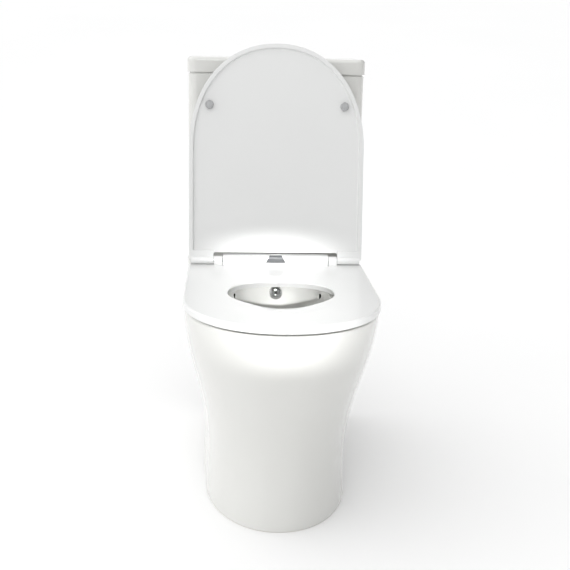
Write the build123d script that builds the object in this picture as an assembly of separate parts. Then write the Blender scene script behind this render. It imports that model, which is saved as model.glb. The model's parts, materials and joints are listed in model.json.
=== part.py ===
"""Close coupled toilet, back to the wall: pan, cistern, lid, seat, cover and all that works inside them.

Millimetres, +Z up, +X to the right of someone facing the toilet, -Y towards that person.
The origin is on the floor, under the middle of the toilet's bounding box.
The toilet stands with its cover raised against its stop and its seat ring down.
"""

import math
import os

from build123d import *

# ---- overall sizes ----
OVERALL_LENGTH = 665.0
RIM_WIDTH = 354.0
RIM_Z = 408.0
DECK_WIDTH = 362.0       # the cistern is as wide
CISTERN_DEPTH = 151.5
CISTERN_HEIGHT = 368.0
FRONT_Y = -OVERALL_LENGTH / 2
BACK_Y = OVERALL_LENGTH / 2

# ---- general clearances ----
EPS = 1.0                # how far a cut runs past the face that it opens
RUNNING = 0.05           # radial play of a shaft in its bore
SLIDE_PLAY = 0.5         # play of a piece that slides beside another
REST_GAP = 0.3           # a soft foot above the face that it comes down on
HOLE_PLAY = 1.0          # round a bolt or screw in a wide hole

# ---- pan ----
WALL = 10.0
FOOT_WIDTH = 280.0
FOOT_REAR_WIDTH = 291.0
WAIST_WIDTH = 275.0
WAIST_REAR_WIDTH = 284.0
WAIST_Z = 75.0
DECK_RISE = 25.0         # of the raised deck above the rim
DECK_SHELF = 53.0        # deck in front of the cistern
DECK_PLATE = 12.0
DECK_CORNER_R = 18.0
DECK_SHOULDER = 33.0     # height of the raised block above the skirt
FOOT_SETBACK = 94.5      # how far the foot stands behind the front of the rim
FOOT_NOSE_MORE = 78.0    # the foot's rounded nose is longer than half of its width by this
RIM_NOSE_MORE = 20.5     # and the rim's by this
SKIRT_FLAT = 270.0       # length of the flat side of the skirt, from the wall forwards
FLARE_POWER = 1.2        # how late the body flares between waist and rim
NOSE_POWER = 2.1         # superellipse power of the noses
SLAB = 24.0              # thickness of the rim's top slab
RIM_EASE = 4.0           # how far the rim's outer edge is eased
RIM_EASE_Z = 8.0
SECTION_HEIGHTS = (0.0, 0.35, 0.7, 1.0)          # body sections between floor and waist, as shares
FLARE_HEIGHTS = (0.2, 0.4, 0.6, 0.8)             # body sections between waist and rim, as shares

# ---- bowl: half width, front and back at each height below the rim ----
LEDGE_SIDE = 76.0        # from the rim's side to the bowl
LEDGE_FRONT = 100.5      # from the rim's front to the bowl
LEDGE_REAR = 66.0        # from the bowl to the raised deck
BOWL_STEPS = (           # drop below the rim, half width, front and rear set in from the opening
    (0.0, 0.0, 0.0, 0.0),
    (23.0, 5.0, 4.0, -1.0),
    (58.0, 13.0, 24.0, 10.0),
    (108.0, 35.0, 62.0, 44.0),
    (153.0, 55.0, 102.0, 74.0),
    (196.0, 66.0, 126.0, 94.0),
)
BOWL_POWER = 2.3
BOWL_WALL = 12.0

# ---- rim channel and its two jets ----
CHANNEL_INSET = 11.0     # wall between bowl and channel
CHANNEL_WIDTH = 18.0
CHANNEL_DROP = 17.0      # channel floor below the rim
CHANNEL_HEIGHT = 10.0
JET_BACK = 85.0          # jets behind the bowl's middle
JET_LENGTH = 13.0
JET_HEIGHT = 8.0
JET_START = 5.0          # inside the channel from its inner wall
JET_REACH = 45.0
JET_TILT = 30.0
DUCT_SIDE = 3.0          # duct wider than the hole above it
DUCT_DROP = 14.0         # duct floor below the rim
DUCT_WALL = 10.0

# ---- trap and outlet ----
TRAP_BORE_R = 30.0
TRAP_WALL = 8.0
TRAP_BEND_R = 34.0
TRAP_ENTRY = (-130.0, -168.0)  # y behind the bowl's rear, z above the rim
TRAP_DIP = (-54.0, -208.0)
TRAP_WEIR = (4.0, -140.0)
TRAP_CREST = (60.0, -140.0)
TRAP_FALL = 116.0              # end of the fall behind the bowl's rear
OUTLET_Z = 185.0
OUTLET_R = 51.0
OUTLET_BORE_R = 43.0
OUTLET_LENGTH = 80.0
OUTLET_BACK_GAP = 10.5

# ---- cistern ----
CISTERN_WALL = 9.0
CISTERN_FLOOR = 10.0
CISTERN_CORNER_R = 20.0
CISTERN_FOOT_R = 9.0
SEAM = 3.0               # foam joint between the deck and the cistern

# ---- cistern lid ----
LID_SIDE = 2.0           # past each side of the cistern
LID_HEIGHT = 33.0
LID_OVERHANG = 2.5       # past the front of the cistern
LID_TOP = 10.0
LID_EDGE_R = 8.0
LID_RIM = 12.0
SHADOW_GAP = 2.5
SHADOW_DEPTH = 5.0
LIP_DROP = 8.0
LIP_WALL = 6.0
LIP_PLAY = 1.5

# ---- flush button ----
BUTTON_X = 0.0
BUTTON_R = 20.0
BUTTON_HEIGHT = 11.0
BUTTON_PROUD = 1.5
BUTTON_SPLIT_X = -6.0
BUTTON_SPLIT_GAP = 1.0
BEZEL_WALL = 2.5
BEZEL_FLANGE_WIDTH = 6.0
BEZEL_FLANGE = 2.5
BEZEL_SLEEVE_DROP = 31.0
BEZEL_WEB = 3.0
BEZEL_NUT_WIDTH = 10.0
BEZEL_NUT = 9.0
ROD_R = 3.0
FULL_ROD_X = 10.0
HALF_ROD_X = -13.0
ROD_DROP = 96.0          # rod ends below the top of the lid

# ---- both valves ----
WORKS_DROP = 114.0       # top of the tower and seat of the fill valve's head, below the cistern's top

# ---- flush valve ----
VALVE_FORWARD = 0.75     # in front of the cistern's middle
VALVE_TAIL_R = 29.3
VALVE_BORE_R = 24.0
VALVE_TAIL = 25.0        # below the deck
VALVE_FLANGE_R = 44.0
VALVE_FLANGE = 5.0
VALVE_WASHER = 3.0
VALVE_NUT_R = 37.0
VALVE_NUT = 12.0
TOWER_R = 38.0
TOWER_WALL = 3.0
TOWER_WINDOW_W = 26.0
TOWER_WINDOW_H = 78.0
TOWER_WINDOW_LIFT = 8.0
OVERFLOW_R = 14.0
OVERFLOW_BORE_R = 11.0
OVERFLOW_PROUD = 16.0    # above the tower
SEAL_WIDTH = 6.0         # past the valve's bore
SEAL = 4.0
SEAL_CARRIER = 4.0
HEAD_PLATE = 5.0
FLOAT_DROP = 130.0       # foot of both floats below the works' top
FLUSH_FLOAT_H = 50.0
FLUSH_FLOAT_ROOM = 5.0   # between the float and the tower
LEDGE = 6.0
LEDGE_WIDTH = 7.0
PLUNGER_STEM_R = 3.5
PLUNGER_X = 24.0
PLUNGER_CAP = 6.0
PLUNGER_CAP_Y = 12.0
PLUNGER_DROP = 18.0      # foot below the tower's top

# ---- fill valve ----
FILL_INSET = 61.0        # from the cistern's left side
FILL_BACK = 13.25        # behind the cistern's middle
FILL_SHANK_R = 10.4
FILL_INLET_R = 10.2      # free end below the nut
FILL_BORE_R = 4.0
FILL_SHANK = 48.0        # below the deck
FILL_FLANGE_R = 18.0
FILL_RISER_R = 11.0
FILL_HEAD_R = 15.0
FILL_HEAD_H = 24.0
FILL_NUT_R = 17.0
FILL_NUT = 12.0
FILL_FLOAT_R = 30.0
FILL_FLOAT_H = 60.0
FILL_COLLAR_R = 17.0
FILL_COLLAR = 8.0
LINK_R = 1.5
LINK_X = -24.0           # from the riser's axis
LINK_GAP = 1.0
LEVER_PIVOT_X = 9.0
LEVER_PIVOT_LIFT = 8.0
LEVER_PIN_R = 2.0
LEVER_THICK = 4.0
LEVER_WIDTH = 8.0
LEVER_EAR = 3.0
LEVER_OVERRUN = 7.0
ACCESS_R = 30.0

# ---- coupling bolts ----
COUPLING_X = 75.0
COUPLING_R = 5.0
COUPLING_HEAD_R = 10.0
COUPLING_HEAD = 7.0
COUPLING_TAIL = 41.0     # below the deck
WASHER_R = 14.0
RUBBER = 3.0
STEEL = 1.5
WING_R = 8.0
WING_H = 10.0
WING_SPAN = 34.0
WING_THICK = 3.0
SPUD_HOLE_R = 41.0
GASKET_WIDTH = 19.0
GASKET_ROOM = 2.0        # round the deck's hole

# ---- seat ring ----
HINGE_FORWARD = 30.0     # axis in front of the raised deck
HINGE_RISE = 9.0         # axis above the seat's top
SEAT_SIDE = 1.5          # past each side of the rim
SEAT_NOSE_MORE = 11.5    # the rounded nose is longer than half of the width by this
SEAT_POWER = 2.15
SEAT_LIFT = 4.0          # above the rim
SEAT_THICK = 13.0
SEAT_SKIN = 5.0
SEAT_EDGE = 4.0
SEAT_REAR = 10.0         # how far the ring runs behind the hinge axis
SEAT_EDGE_R = 2.5
OPENING_SIDE = 3.0       # narrower than the bowl on each side
OPENING_FRONT = 35.0     # behind the bowl's front
OPENING_REAR = 103.0     # in front of the bowl's rear
OPENING_POWER = 2.2
DISH_LENGTH = 65.0
DISH_DROP = 8.5
BUFFER_R = 9.0
BUFFER_REAR = (37.0, 68.0)       # in from the rim's side, in front of the hinge axis
BUFFER_FRONT = (59.0, 117.5)     # in from the rim's side, behind the rim's front
BUFFER_CLEAR = 1.0       # round the buffer's socket

# ---- hinge ----
KNUCKLE_R = 8.3
PIN_R = 4.0
BAR_HALF_WIDTH = 108.0
BAR_FRONT = 14.0         # in front of the hinge axis
BAR_BACK = 16.0
BAR_TOP = 12.0           # above the hinge axis
BAR_EDGE_R = 8.0
SEAT_NOTCH_PLAY = 1.5
SEAT_KNUCKLE_W = 17.0
KNUCKLE_PLAY = 1.0
PIN_HOLD = 24.5          # of the pin inside the cover's eye
DAMPER_R = 6.0
DAMPER_IN = 24.0
DAMPER_STOP = 12.0       # end wall of the bar
STUD_X = 77.5
STUD_R = 4.0
STUD_RISE = 14.0         # above the rim
STUD_TAIL = 39.0         # below the rim's slab
STUD_HOLE_R = 7.0
STUD_NUT_R = 10.0
STUD_NUT = 10.0
CONE_R = 13.0
CONE_H = 5.0

# ---- quick release button ----
RELEASE_BASE_W = 40.0
RELEASE_TOP_W = 23.0
RELEASE_H = 14.0
RELEASE_DEPTH = 10.0
RELEASE_INSET = 1.0
RELEASE_TRAVEL = 3.0
RELEASE_PLAY = 0.6

# ---- cover ----
COVER_SIDE = 1.0         # narrower than the seat on each side
COVER_FRONT = 5.5        # past the front of the rim
COVER_NOSE_MORE = 33.5   # the rounded nose is longer than half of the width by this
COVER_GAP = 3.5          # above the seat
COVER_THICK = 12.5
COVER_RECESS = 5.0
COVER_RIM = 8.0
COVER_EDGE_R = 3.0
COVER_NOTCH = 20.0
COVER_EYE_INSET = 4.0    # from the cover's side
COVER_LEAN = 8.5         # degrees past upright
BUMPER_R = 8.5
BUMPER_SIDE = 40.5       # in from the cover's side
BUMPER_FRONT = 122.0     # in from the cover's front
BUMPER_BASE_R = 6.0

# ---- bidet spray ----
SPRAY_DROP = 33.0        # below the rim
SPRAY_BACK = 4.0         # its seat behind the bowl's rear
SPRAY_R = 12.5
SPRAY_DEPTH = 8.0
SPRAY_SHANK_R = 7.5
SPRAY_BOSS_R = 16.0
SPRAY_WALL = 12.0
SPRAY_GASKET = 1.5
SPRAY_NUT_R = 12.0
SPRAY_NUT = 8.0
SPRAY_SHANK = 38.0       # behind its seat
SPRAY_BORE_R = 2.5
SPRAY_POCKET_HALF = 28.0
SPRAY_POCKET_RISE = 13.0
PIPE_R = 5.0
PIPE_BORE_R = 3.8
PIPE_BACK_GAP = 23.5     # its end from the wall
TAIL_R = 10.3
TAIL_LENGTH = 18.0

# ---- floor fixings ----
FIX_FROM_WALL = 122.5
FIX_Z = 45.0
FIX_SCREW_R = 3.0
FIX_HEAD_R = 6.0
FIX_HEAD = 3.0
FIX_SCREW_LENGTH = 24.0
CAP_R = 9.0
CAP_DEPTH = 2.0
CAP_PROUD = 1.5
BRACKET_THICK = 4.0
BRACKET_WIDTH = 40.0
BRACKET_HEIGHT = 62.0
BRACKET_FOOT = 44.0
BRACKET_HOLE_R = 4.5
BRACKET_GAP = 1.0

# ---- worked out: body, deck and bowl ----
DECK_Z = RIM_Z + DECK_RISE
DECK_LOW_Z = DECK_Z - DECK_PLATE
DECK_DEPTH = CISTERN_DEPTH + DECK_SHELF
DECK_FRONT_Y = BACK_Y - DECK_DEPTH
SLAB_LOW_Z = RIM_Z - SLAB
FOOT_NOSE = FOOT_WIDTH / 2 + FOOT_NOSE_MORE
RIM_NOSE = RIM_WIDTH / 2 + RIM_NOSE_MORE
BOWL_HALF_WIDTH = RIM_WIDTH / 2 - LEDGE_SIDE
BOWL_FRONT_Y = FRONT_Y + LEDGE_FRONT
BOWL_REAR_Y = DECK_FRONT_Y - LEDGE_REAR
CHANNEL_LOW_Z = RIM_Z - CHANNEL_DROP
JET_Y = (BOWL_FRONT_Y + BOWL_REAR_Y) / 2 + JET_BACK
DUCT_HALF_WIDTH = SPUD_HOLE_R + DUCT_SIDE
DUCT_FLOOR_Z = RIM_Z - DUCT_DROP
OUTLET_END_Y = BACK_Y - OUTLET_BACK_GAP

# ---- worked out: cistern, lid and what is inside ----
CISTERN_WIDTH = DECK_WIDTH
CISTERN_LOW_Z = DECK_Z + SEAM
CISTERN_FLOOR_Z = CISTERN_LOW_Z + CISTERN_FLOOR
CISTERN_TOP_Z = CISTERN_LOW_Z + CISTERN_HEIGHT
CISTERN_FRONT_Y = BACK_Y - CISTERN_DEPTH
CISTERN_MID_Y = BACK_Y - CISTERN_DEPTH / 2
LID_WIDTH = CISTERN_WIDTH + 2 * LID_SIDE
LID_TOP_Z = CISTERN_TOP_Z + LID_HEIGHT
LID_CEILING_Z = LID_TOP_Z - LID_TOP
BEZEL_SLEEVE_R = BUTTON_R + SLIDE_PLAY + BEZEL_WALL
BEZEL_FLANGE_R = BEZEL_SLEEVE_R + BEZEL_FLANGE_WIDTH
BEZEL_NUT_R = BEZEL_SLEEVE_R + BEZEL_NUT_WIDTH
ROD_END_Z = LID_TOP_Z - ROD_DROP
VALVE_Y = CISTERN_MID_Y - VALVE_FORWARD
VALVE_SEAT_Z = CISTERN_FLOOR_Z + VALVE_WASHER + VALVE_FLANGE
VALVE_TAIL_Z = DECK_Z - VALVE_TAIL
TOWER_TOP_Z = CISTERN_TOP_Z - WORKS_DROP
OVERFLOW_TOP_Z = TOWER_TOP_Z + OVERFLOW_PROUD
SEAL_R = VALVE_BORE_R + SEAL_WIDTH
FLOAT_LOW_Z = TOWER_TOP_Z - FLOAT_DROP
FLUSH_FLOAT_R = TOWER_R - TOWER_WALL - FLUSH_FLOAT_ROOM
PLUNGER_FOOT_Z = TOWER_TOP_Z - PLUNGER_DROP
FILL_X = FILL_INSET - CISTERN_WIDTH / 2
FILL_Y = CISTERN_MID_Y + FILL_BACK
FILL_SHANK_Z = DECK_Z - FILL_SHANK
FILL_HEAD_Z = CISTERN_TOP_Z - WORKS_DROP
COUPLING_HOLE_R = COUPLING_R + HOLE_PLAY
COUPLING_END_Z = DECK_Z - COUPLING_TAIL
GASKET_BORE_R = SPUD_HOLE_R + GASKET_ROOM
GASKET_R = GASKET_BORE_R + GASKET_WIDTH

# ---- worked out: seat, cover and hinge ----
HINGE_Y = DECK_FRONT_Y - HINGE_FORWARD
SEAT_WIDTH = RIM_WIDTH + 2 * SEAT_SIDE
SEAT_NOSE = SEAT_WIDTH / 2 + SEAT_NOSE_MORE
SEAT_LOW_Z = RIM_Z + SEAT_LIFT
SEAT_TOP_Z = SEAT_LOW_Z + SEAT_THICK
HINGE_Z = SEAT_TOP_Z + HINGE_RISE
OPENING_HALF_WIDTH = BOWL_HALF_WIDTH - OPENING_SIDE
OPENING_FRONT_Y = BOWL_FRONT_Y + OPENING_FRONT
OPENING_REAR_Y = BOWL_REAR_Y - OPENING_REAR
DISH_FRONT_Y = OPENING_FRONT_Y - DISH_LENGTH
BUFFERS = (
    (RIM_WIDTH / 2 - BUFFER_REAR[0], HINGE_Y - BUFFER_REAR[1]),
    (RIM_WIDTH / 2 - BUFFER_FRONT[0], FRONT_Y + BUFFER_FRONT[1]),
)
COVER_WIDTH = SEAT_WIDTH - 2 * COVER_SIDE
COVER_NOSE = COVER_WIDTH / 2 + COVER_NOSE_MORE
COVER_LENGTH = HINGE_Y - FRONT_Y + COVER_FRONT
COVER_LOW_Z = SEAT_TOP_Z + COVER_GAP
COVER_SWING = 90.0 + COVER_LEAN
COVER_NOTCH_HALF = BAR_HALF_WIDTH + SEAT_NOTCH_PLAY + SEAT_KNUCKLE_W + KNUCKLE_PLAY
COVER_KNUCKLE_W = COVER_WIDTH / 2 - COVER_EYE_INSET - COVER_NOTCH_HALF
PIN_REACH = COVER_NOTCH_HALF + PIN_HOLD
DAMPER_OUT = BAR_HALF_WIDTH - DAMPER_STOP
BUMPER_X = COVER_WIDTH / 2 - BUMPER_SIDE
BUMPER_S = COVER_LENGTH - BUMPER_FRONT
STUD_TOP_Z = RIM_Z + STUD_RISE
STUD_END_Z = SLAB_LOW_Z - STUD_TAIL

# ---- worked out: spray and floor fixings ----
SPRAY_Z = RIM_Z - SPRAY_DROP
SPRAY_FACE_Y = BOWL_REAR_Y + SPRAY_BACK
SPRAY_BOSS_Y = SPRAY_FACE_Y + SPRAY_WALL
SPRAY_SHANK_END_Y = SPRAY_FACE_Y + SPRAY_SHANK
SPRAY_HOLE_R = SPRAY_SHANK_R + SLIDE_PLAY
SPRAY_POCKET_Z = SPRAY_Z + SPRAY_POCKET_RISE
PIPE_END_Y = BACK_Y - PIPE_BACK_GAP
FIX_Y = BACK_Y - FIX_FROM_WALL
FIX_HOLE_R = FIX_SCREW_R + HOLE_PLAY


# ---------------------------------------------------------------- helpers
def save(name, shape):
    """Write one node to parts/NAME.step."""
    os.makedirs("parts", exist_ok=True)
    shape.label = name
    export_step(shape, f"parts/{name}.step")


def rod(x, y, low, high, radius):
    """Upright round bar between two heights."""
    return Pos(x, y, (low + high) / 2) * Cylinder(radius, high - low)


def tube(x, y, low, high, radius, bore):
    """Upright tube; its bore runs right through."""
    return rod(x, y, low, high, radius) - rod(x, y, low - EPS, high + EPS, bore)


def rod_x(low, high, y, z, radius):
    """Round bar along X."""
    return Pos((low + high) / 2, y, z) * Rot(0, 90, 0) * Cylinder(radius, high - low)


def rod_y(x, low, high, z, radius):
    """Round bar along Y."""
    return Pos(x, (low + high) / 2, z) * Rot(90, 0, 0) * Cylinder(radius, high - low)


def block(low, high):
    """Square block between two corners."""
    size = [b - a for a, b in zip(low, high)]
    middle = [(a + b) / 2 for a, b in zip(low, high)]
    return Pos(*middle) * Box(*size)


def hexagon(x, y, low, high, radius, bore):
    """Six-sided nut between two heights."""
    body = extrude(Pos(x, y, low) * RegularPolygon(radius, 6), high - low)
    return body - rod(x, y, low - EPS, high + EPS, bore)


def common(first, second):
    """The space that two pieces share."""
    return Part() + (first & second).solids()


def mirrored(shape):
    """The same piece on the other side of the middle plane."""
    return mirror(shape, about=Plane.YZ)


def pair(shape):
    """A piece and its mirror image, as two solids."""
    return Compound(children=[Solid(shape.solid().wrapped), Solid(mirrored(shape).solid().wrapped)])


def superellipse_points(half_width, centre_y, half_length, power, start, stop, count):
    """Points of |x/a|^p + |y/b|^p = 1 between two angles, in degrees from +X."""
    points = []
    for index in range(count):
        angle = math.radians(start + (stop - start) * index / (count - 1))
        cosine, sine = math.cos(angle), math.sin(angle)
        x = half_width * math.copysign(abs(cosine) ** (2 / power), cosine)
        y = centre_y + half_length * math.copysign(abs(sine) ** (2 / power), sine)
        points.append((x, y))
    return points


def oval(half_width, front_y, rear_y, power, z):
    """Closed superellipse face at height z."""
    middle, half = (front_y + rear_y) / 2, (rear_y - front_y) / 2
    upper = superellipse_points(half_width, middle, half, power, 0, 180, 17)
    lower = superellipse_points(half_width, middle, half, power, 180, 360, 17)
    forward, back = Vector(0, 1), Vector(0, -1)
    edges = [Spline(upper, tangents=(forward, back)), Spline(lower, tangents=(back, forward))]
    return Pos(0, 0, z) * make_face(Wire(edges))


def nose(half_width, front_y, length, power):
    """The rounded front of a D outline, from its right side to its left."""
    points = superellipse_points(half_width, front_y + length, length, power, 0, -180, 21)
    return Spline(points, tangents=(Vector(0, -1), Vector(0, 1)))


def d_face(half_width, front_y, length, rear_y, power, z):
    """D outline: a rounded nose, two straight sides and a straight rear."""
    side_y = front_y + length
    front = nose(half_width, front_y, length, power)
    straight = Polyline(
        (-half_width, side_y), (-half_width, rear_y), (half_width, rear_y), (half_width, side_y)
    )
    return Pos(0, 0, z) * make_face(Wire([front, *straight.edges()]))


# ---------------------------------------------------------------- pan
def smooth(share):
    """Ease in and out between 0 and 1."""
    return share * share * (3 - 2 * share)


def pan_section(z, inset=0.0, rear_y=BACK_Y):
    """The pan's outline at height z, set in by a wall."""
    if z <= WAIST_Z:
        flare, share = 0.0, 0.0
        foot = smooth(1 - z / WAIST_Z)
    else:
        share = min((z - WAIST_Z) / (RIM_Z - WAIST_Z), 1.0)
        flare = smooth(share**FLARE_POWER)
        foot = 0.0
    front_width = WAIST_WIDTH + (RIM_WIDTH - WAIST_WIDTH) * flare + (FOOT_WIDTH - WAIST_WIDTH) * foot
    rear_width = (
        WAIST_REAR_WIDTH
        + (DECK_WIDTH - WAIST_REAR_WIDTH) * flare
        + (FOOT_REAR_WIDTH - WAIST_REAR_WIDTH) * foot
    )
    front_half, rear_half = front_width / 2 - inset, rear_width / 2 - inset
    front_y = FRONT_Y + FOOT_SETBACK * (1 - flare) + inset
    length = FOOT_NOSE + (RIM_NOSE - FOOT_NOSE) * share - inset
    side_y, flat_y = front_y + length, BACK_Y - SKIRT_FLAT
    front = nose(front_half, front_y, length, NOSE_POWER)
    along, towards = Vector(0, 1), Vector(0, -1)
    left = Spline([(-front_half, side_y), (-rear_half, flat_y)], tangents=(along, along))
    right = Spline([(rear_half, flat_y), (front_half, side_y)], tangents=(towards, towards))
    rear = Polyline((-rear_half, flat_y), (-rear_half, rear_y), (rear_half, rear_y), (rear_half, flat_y))
    return Pos(0, 0, z) * make_face(Wire([front, left, *rear.edges(), right]))


def section_heights(top):
    """Heights at which the body's outline is taken, from the floor to a top."""
    low = [share * WAIST_Z for share in SECTION_HEIGHTS]
    high = [WAIST_Z + share * (RIM_Z - WAIST_Z) for share in FLARE_HEIGHTS]
    return [z for z in low + high if z < top - WALL / 2] + [top]


def pan_shell():
    """The outer body, hollow from below and behind, with the rim slab and the raised deck."""
    shoulder_z = RIM_Z - RIM_EASE_Z
    body = loft([pan_section(z) for z in section_heights(shoulder_z)])
    body += loft([pan_section(shoulder_z), pan_section(RIM_Z, RIM_EASE)])
    deck = Pos(0, (DECK_FRONT_Y + BACK_Y) / 2, DECK_Z - DECK_SHOULDER / 2) * Box(
        DECK_WIDTH, DECK_DEPTH, DECK_SHOULDER
    )
    front_edges = deck.edges().filter_by(Axis.Z).group_by(Axis.Y)[0]
    body += fillet(front_edges, DECK_CORNER_R)
    open_y = BACK_Y + EPS
    heights = section_heights(SLAB_LOW_Z)
    hollow = loft([pan_section(z, WALL, open_y) for z in heights])
    hollow += extrude(pan_section(0, WALL, open_y), -EPS)
    under_deck = block(
        (-DECK_WIDTH / 2 + WALL, DECK_FRONT_Y + WALL, SLAB_LOW_Z - EPS),
        (DECK_WIDTH / 2 - WALL, open_y, DECK_LOW_Z),
    )
    return body - hollow - under_deck


def bowl_solid(grow):
    """The bowl's space, or with a wall added its outside."""
    faces = []
    for drop, narrower, front, rear in BOWL_STEPS:
        faces.append(
            oval(
                BOWL_HALF_WIDTH - narrower + grow,
                BOWL_FRONT_Y + front - grow,
                BOWL_REAR_Y - rear + grow,
                BOWL_POWER,
                RIM_Z - drop - (grow if drop == BOWL_STEPS[-1][0] else 0),
            )
        )
    return loft(faces)


def trap_path():
    """The way from the sump, over the weir and down to the outlet."""
    corners = (TRAP_ENTRY, TRAP_DIP, TRAP_WEIR, TRAP_CREST)
    points = [(0, BOWL_REAR_Y + y, RIM_Z + z) for y, z in corners]
    points.append((0, BOWL_REAR_Y + TRAP_FALL, OUTLET_Z))
    points.append((0, OUTLET_END_Y - OUTLET_LENGTH + WALL, OUTLET_Z))
    return FilletPolyline(*points, radius=TRAP_BEND_R)


def trap_solid(radius):
    """A round bar along the trap."""
    path = trap_path()
    start = Plane(path @ 0, z_dir=path % 0)
    return sweep(start * Circle(radius), path=path)


def duct_solid(grow):
    """Chamber under the deck that brings the flush water forward."""
    rear_y = VALVE_Y + SPUD_HOLE_R + SLIDE_PLAY + grow
    front_y = BOWL_REAR_Y + CHANNEL_INSET if grow == 0 else DECK_FRONT_Y
    return block(
        (-DUCT_HALF_WIDTH - grow, front_y, DUCT_FLOOR_Z - grow),
        (DUCT_HALF_WIDTH + grow, rear_y, DECK_LOW_Z + (EPS if grow else 0)),
    )


def rim_channel():
    """Channel that leads the flush water round the bowl to the jets."""
    outer_grow = CHANNEL_INSET + CHANNEL_WIDTH
    outer = oval(
        BOWL_HALF_WIDTH + outer_grow,
        BOWL_FRONT_Y - outer_grow,
        BOWL_REAR_Y + outer_grow,
        BOWL_POWER,
        CHANNEL_LOW_Z,
    )
    inner = oval(
        BOWL_HALF_WIDTH + CHANNEL_INSET,
        BOWL_FRONT_Y - CHANNEL_INSET,
        BOWL_REAR_Y + CHANNEL_INSET,
        BOWL_POWER,
        CHANNEL_LOW_Z,
    )
    return extrude(outer, CHANNEL_HEIGHT) - extrude(inner, CHANNEL_HEIGHT)


def jet_cut():
    """Oval port that slopes from the channel down into the bowl, on the right."""
    half_length = (BOWL_REAR_Y - BOWL_FRONT_Y) / 2 + CHANNEL_INSET
    share = 1 - (abs(JET_BACK) / half_length) ** BOWL_POWER
    start_x = (BOWL_HALF_WIDTH + CHANNEL_INSET) * share ** (1 / BOWL_POWER) + JET_START
    tilt = math.radians(JET_TILT)
    start = Plane(
        origin=(start_x, JET_Y, CHANNEL_LOW_Z + CHANNEL_HEIGHT / 2),
        x_dir=(0, 1, 0),
        z_dir=(-math.cos(tilt), 0, -math.sin(tilt)),
    )
    return extrude(start * Ellipse(JET_LENGTH / 2, JET_HEIGHT / 2), JET_REACH)


def fixing_half_width():
    """Half width of the skirt's outside where the side screws pass."""
    foot = smooth(1 - FIX_Z / WAIST_Z) if FIX_Z < WAIST_Z else 0.0
    return (WAIST_REAR_WIDTH + (FOOT_REAR_WIDTH - WAIST_REAR_WIDTH) * foot) / 2


def fixing_cut():
    """Hole and cap seat in the skirt's right side."""
    outside = fixing_half_width()
    hole = rod_x(outside - 2 * WALL, outside + EPS, FIX_Y, FIX_Z, FIX_HOLE_R)
    return hole + rod_x(outside - CAP_DEPTH - FIX_HEAD, outside + 2 * EPS, FIX_Y, FIX_Z, CAP_R)


def make_pan():
    """The one ceramic piece that stands on the floor."""
    below_rim = block((-RIM_WIDTH, FRONT_Y, 0), (RIM_WIDTH, BACK_Y, RIM_Z))
    pan = pan_shell() + common(bowl_solid(BOWL_WALL), below_rim)
    pan += trap_solid(TRAP_BORE_R + TRAP_WALL)
    outlet_y = OUTLET_END_Y - OUTLET_LENGTH
    pan += rod_y(0, outlet_y, OUTLET_END_Y, OUTLET_Z, OUTLET_R)
    pan += duct_solid(DUCT_WALL)
    pan += rod_y(0, SPRAY_FACE_Y - EPS, SPRAY_BOSS_Y, SPRAY_Z, SPRAY_BOSS_R)
    pan -= bowl_solid(0)
    pan -= trap_solid(TRAP_BORE_R)
    pan -= rod_y(0, outlet_y + WALL, OUTLET_END_Y + EPS, OUTLET_Z, OUTLET_BORE_R)
    pan -= duct_solid(0) + rod(0, VALVE_Y, DECK_LOW_Z - EPS, DECK_Z + EPS, SPUD_HOLE_R)
    pan -= rim_channel()
    pan -= jet_cut() + mirrored(jet_cut())
    pan -= rod(FILL_X, FILL_Y, DECK_LOW_Z - EPS, DECK_Z + EPS, ACCESS_R)
    pan -= fixing_cut() + mirrored(fixing_cut())
    pan -= block(
        (-SPRAY_POCKET_HALF, SPRAY_BOSS_Y, SPRAY_Z - SPRAY_POCKET_HALF),
        (SPRAY_POCKET_HALF, DECK_FRONT_Y + 2 * WALL, SPRAY_POCKET_Z),
    )
    pan -= rod_y(0, 0, SPRAY_FACE_Y, SPRAY_Z, SPRAY_R + EPS)
    pan -= rod_y(0, 0, SPRAY_BOSS_Y + EPS, SPRAY_Z, SPRAY_HOLE_R)
    for side in (-1, 1):
        pan -= rod(side * STUD_X, HINGE_Y, SLAB_LOW_Z - EPS, RIM_Z + EPS, STUD_HOLE_R)
        pan -= rod(side * COUPLING_X, VALVE_Y, DECK_LOW_Z - EPS, DECK_Z + EPS, COUPLING_HOLE_R)
    return pan


# ---------------------------------------------------------------- cistern and lid
def rounded_box(width, front_y, low, high, corner):
    """Upright box with rounded upright corners, its back on the wall."""
    depth = BACK_Y - front_y
    outline = Pos(0, (front_y + BACK_Y) / 2, low) * RectangleRounded(width, depth, corner)
    return extrude(outline, high - low)


def make_cistern():
    """The water tank, open at the top."""
    tank = rounded_box(CISTERN_WIDTH, CISTERN_FRONT_Y, CISTERN_LOW_Z, CISTERN_TOP_Z, CISTERN_CORNER_R)
    tank = fillet(tank.faces().sort_by(Axis.Z)[0].edges(), CISTERN_FOOT_R)
    inside = Pos(0, CISTERN_MID_Y, CISTERN_FLOOR_Z) * RectangleRounded(
        CISTERN_WIDTH - 2 * CISTERN_WALL, CISTERN_DEPTH - 2 * CISTERN_WALL, CISTERN_CORNER_R - CISTERN_WALL
    )
    tank -= extrude(inside, CISTERN_TOP_Z - CISTERN_FLOOR_Z + EPS)
    low, high = CISTERN_LOW_Z - EPS, CISTERN_FLOOR_Z + EPS
    tank -= rod(0, VALVE_Y, low, high, VALVE_TAIL_R + SLIDE_PLAY)
    tank -= rod(FILL_X, FILL_Y, low, high, FILL_SHANK_R + SLIDE_PLAY)
    for side in (-1, 1):
        tank -= rod(side * COUPLING_X, VALVE_Y, low, high, COUPLING_HOLE_R)
    return tank


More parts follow.
